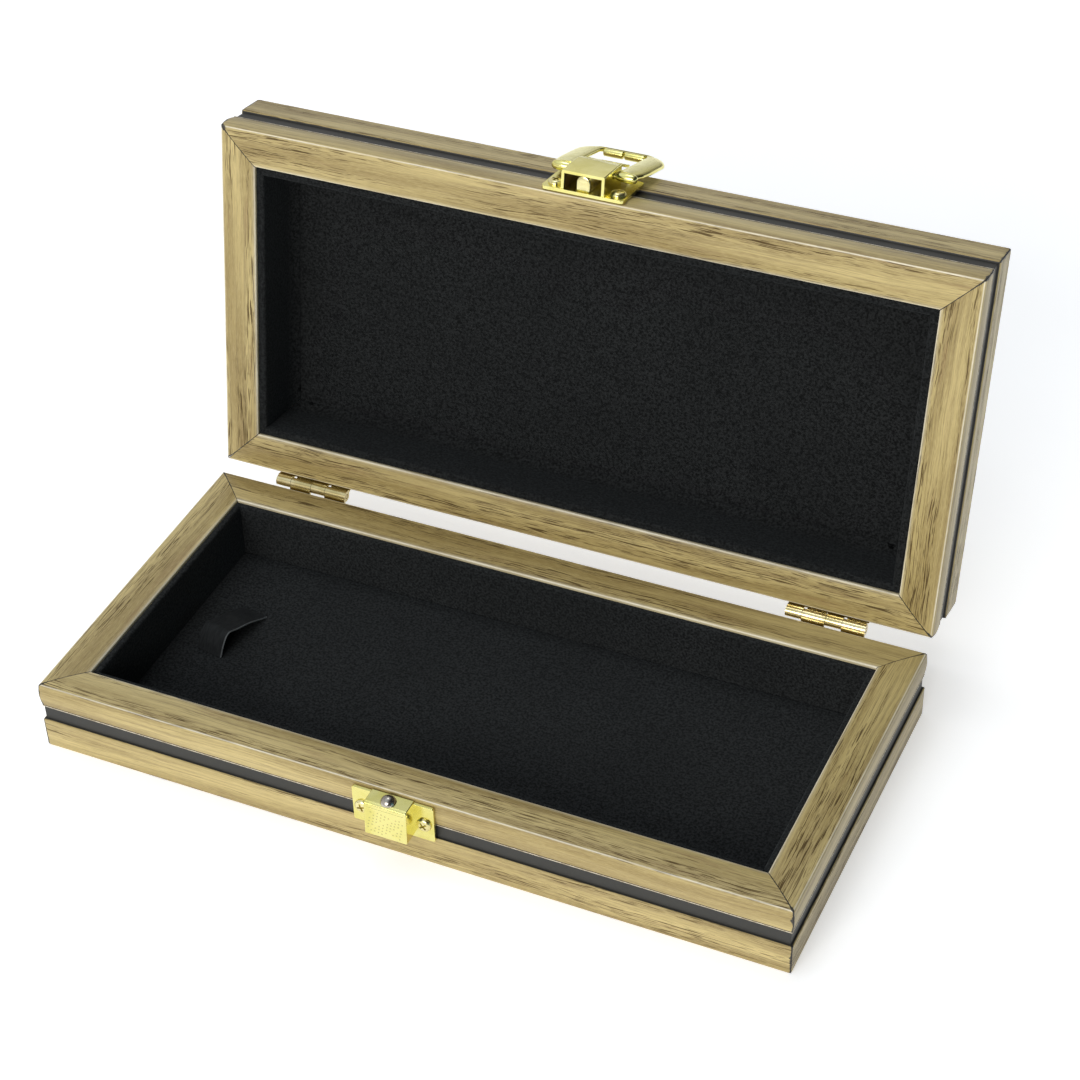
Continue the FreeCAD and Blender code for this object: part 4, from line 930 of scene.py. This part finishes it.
CAD_MAT = {
    "hinge_left_pin": HINGE, "hinge_right_pin": HINGE, "hinge_screws_base": HINGE,
    "hinge_screws_lid": HINGE, "latch_pin": SCREW, "latch_catch_screws": SCREW,
    "latch_plate_screws": SCREW, "latch_catch_rivet": STEEL,
    "floor_board": BOARD, "lid_panel_board": BOARD,
}
for node, mat in CAD_MAT.items():
    me = NODES[node].data
    me.materials.clear()
    me.materials.append(mat)
    me.polygons.foreach_set("material_index", np.zeros(len(me.polygons), np.int32))


# ------------------------------------------------------------- stage and light
def stage_floor():
    me = bpy.data.meshes.new("floor")
    bm = bmesh.new()
    bmesh.ops.create_grid(bm, x_segments=8, y_segments=8, size=4.0)
    bm.to_mesh(me)
    bm.free()
    n = Net("pale_floor")
    c = obj_coord(n)
    a = n.noise(c, 30, 2.0)
    n.set(Base_Color=n.mix(a, (0.90, 0.90, 0.90), (0.94, 0.94, 0.94)), Roughness=0.8,
          Specular_IOR_Level=0.2, Emission_Color=(1.0, 1.0, 1.0), Emission_Strength=0.42)
    me.materials.append(n.m)
    o = bpy.data.objects.new("floor", me)
    bpy.context.scene.collection.objects.link(o)


stage_floor()


def area(name, at, aim, size, power, colour=(1, 1, 1)):
    d = bpy.data.lights.new(name, "AREA")
    d.shape = "RECTANGLE"
    d.size, d.size_y = size
    d.energy = power
    d.color = colour
    o = bpy.data.objects.new(name, d)
    o.location = at
    o.rotation_euler = (Vector(aim) - Vector(at)).to_track_quat("-Z", "Y").to_euler()
    bpy.context.scene.collection.objects.link(o)
    return o


area("key_front", (-0.10, -2.60, 1.35), (0, 0, 0.05), (1.6, 1.2), 45.0, (1.0, 0.985, 0.955))
area("glint_top", (-0.2, 0.35, 1.5), (0, 0, 0), (0.5, 0.4), 2.5, (0.98, 0.99, 1.0))

area("cool_right", (2.0, -0.5, 0.45), (0, 0, 0.05), (1.2, 0.8), 1.3, (0.30, 0.78, 1.0))

world = bpy.data.worlds.new("soft_studio")
world.use_nodes = True
wt = world.node_tree
wt.nodes.clear()
wo = wt.nodes.new("ShaderNodeOutputWorld")
bg = wt.nodes.new("ShaderNodeBackground")
tc = wt.nodes.new("ShaderNodeTexCoord")
sx = wt.nodes.new("ShaderNodeSeparateXYZ")
ramp = wt.nodes.new("ShaderNodeValToRGB")
wt.links.new(tc.outputs["Generated"], sx.inputs[0])
wt.links.new(sx.outputs[2], ramp.inputs[0])
els = ramp.color_ramp.elements
els[0].position, els[0].color = 0.0, (0.55, 0.55, 0.55, 1)
els[1].position, els[1].color = 1.0, (0.98, 1.05, 1.16, 1)
for pos, val, cool in ((0.16, 0.72, 0.0), (0.36, 1.0, 0.0), (0.52, 0.86, 0.0), (0.66, 0.62, 0.03),
                       (0.80, 0.98, 0.06)):
    e = els.new(pos)
    e.color = (val * (1.0 - cool), val * (1.0 + 0.4 * cool), val * (1.01 + 1.6 * cool), 1)
side = wt.nodes.new("ShaderNodeMapRange")
side.interpolation_type = "SMOOTHSTEP"
wt.links.new(sx.outputs[0], side.inputs[0])
for i, v in ((1, -0.30), (2, 0.50), (3, 0.98), (4, 0.05)):
    side.inputs[i].default_value = v
dim = wt.nodes.new("ShaderNodeMix")
dim.data_type, dim.blend_type = "RGBA", "MULTIPLY"
dim.inputs[0].default_value = 1.0
wt.links.new(ramp.outputs[0], dim.inputs[6])
wt.links.new(side.outputs[0], dim.inputs[7])
wt.links.new(dim.outputs[2], bg.inputs[0])
bg.inputs[1].default_value = 0.95
wt.links.new(bg.outputs[0], wo.inputs[0])
bpy.context.scene.world = world

scene = bpy.context.scene
scene.view_settings.view_transform = "Standard"
scene.view_settings.look = "None"
scene.view_settings.exposure = 0.0
scene.view_settings.gamma = 1.0


def camera():
    data = bpy.data.cameras.new("photo_angle")
    cam = bpy.data.objects.new("photo_angle", data)
    scene.collection.objects.link(cam)
    at = Vector((0.2754288, -0.5401437, 0.5562895))
    right = Vector((0.8964303, 0.4396024, -0.0562355))
    down = Vector((0.2588793, -0.6223936, -0.7386526))
    ahead = Vector((-0.3597141, 0.6475924, -0.6717365))
    m = Matrix.Identity(4)
    for i, col in enumerate((right, -down, -ahead)):
        for r in range(3):
            m[r][i] = col[r]
    m.translation = at
    cam.matrix_world = m
    data.sensor_fit, data.sensor_width = "HORIZONTAL", 36.0
    data.lens = 2596.63 / 1080 * 36.0
    data.shift_x = (540 - 413.31) / 1080
    data.shift_y = (717.84 - 540) / 1080
    data.clip_start, data.clip_end = 0.02, 50.0
    data.dof.use_dof = False
    scene.camera = cam


camera()
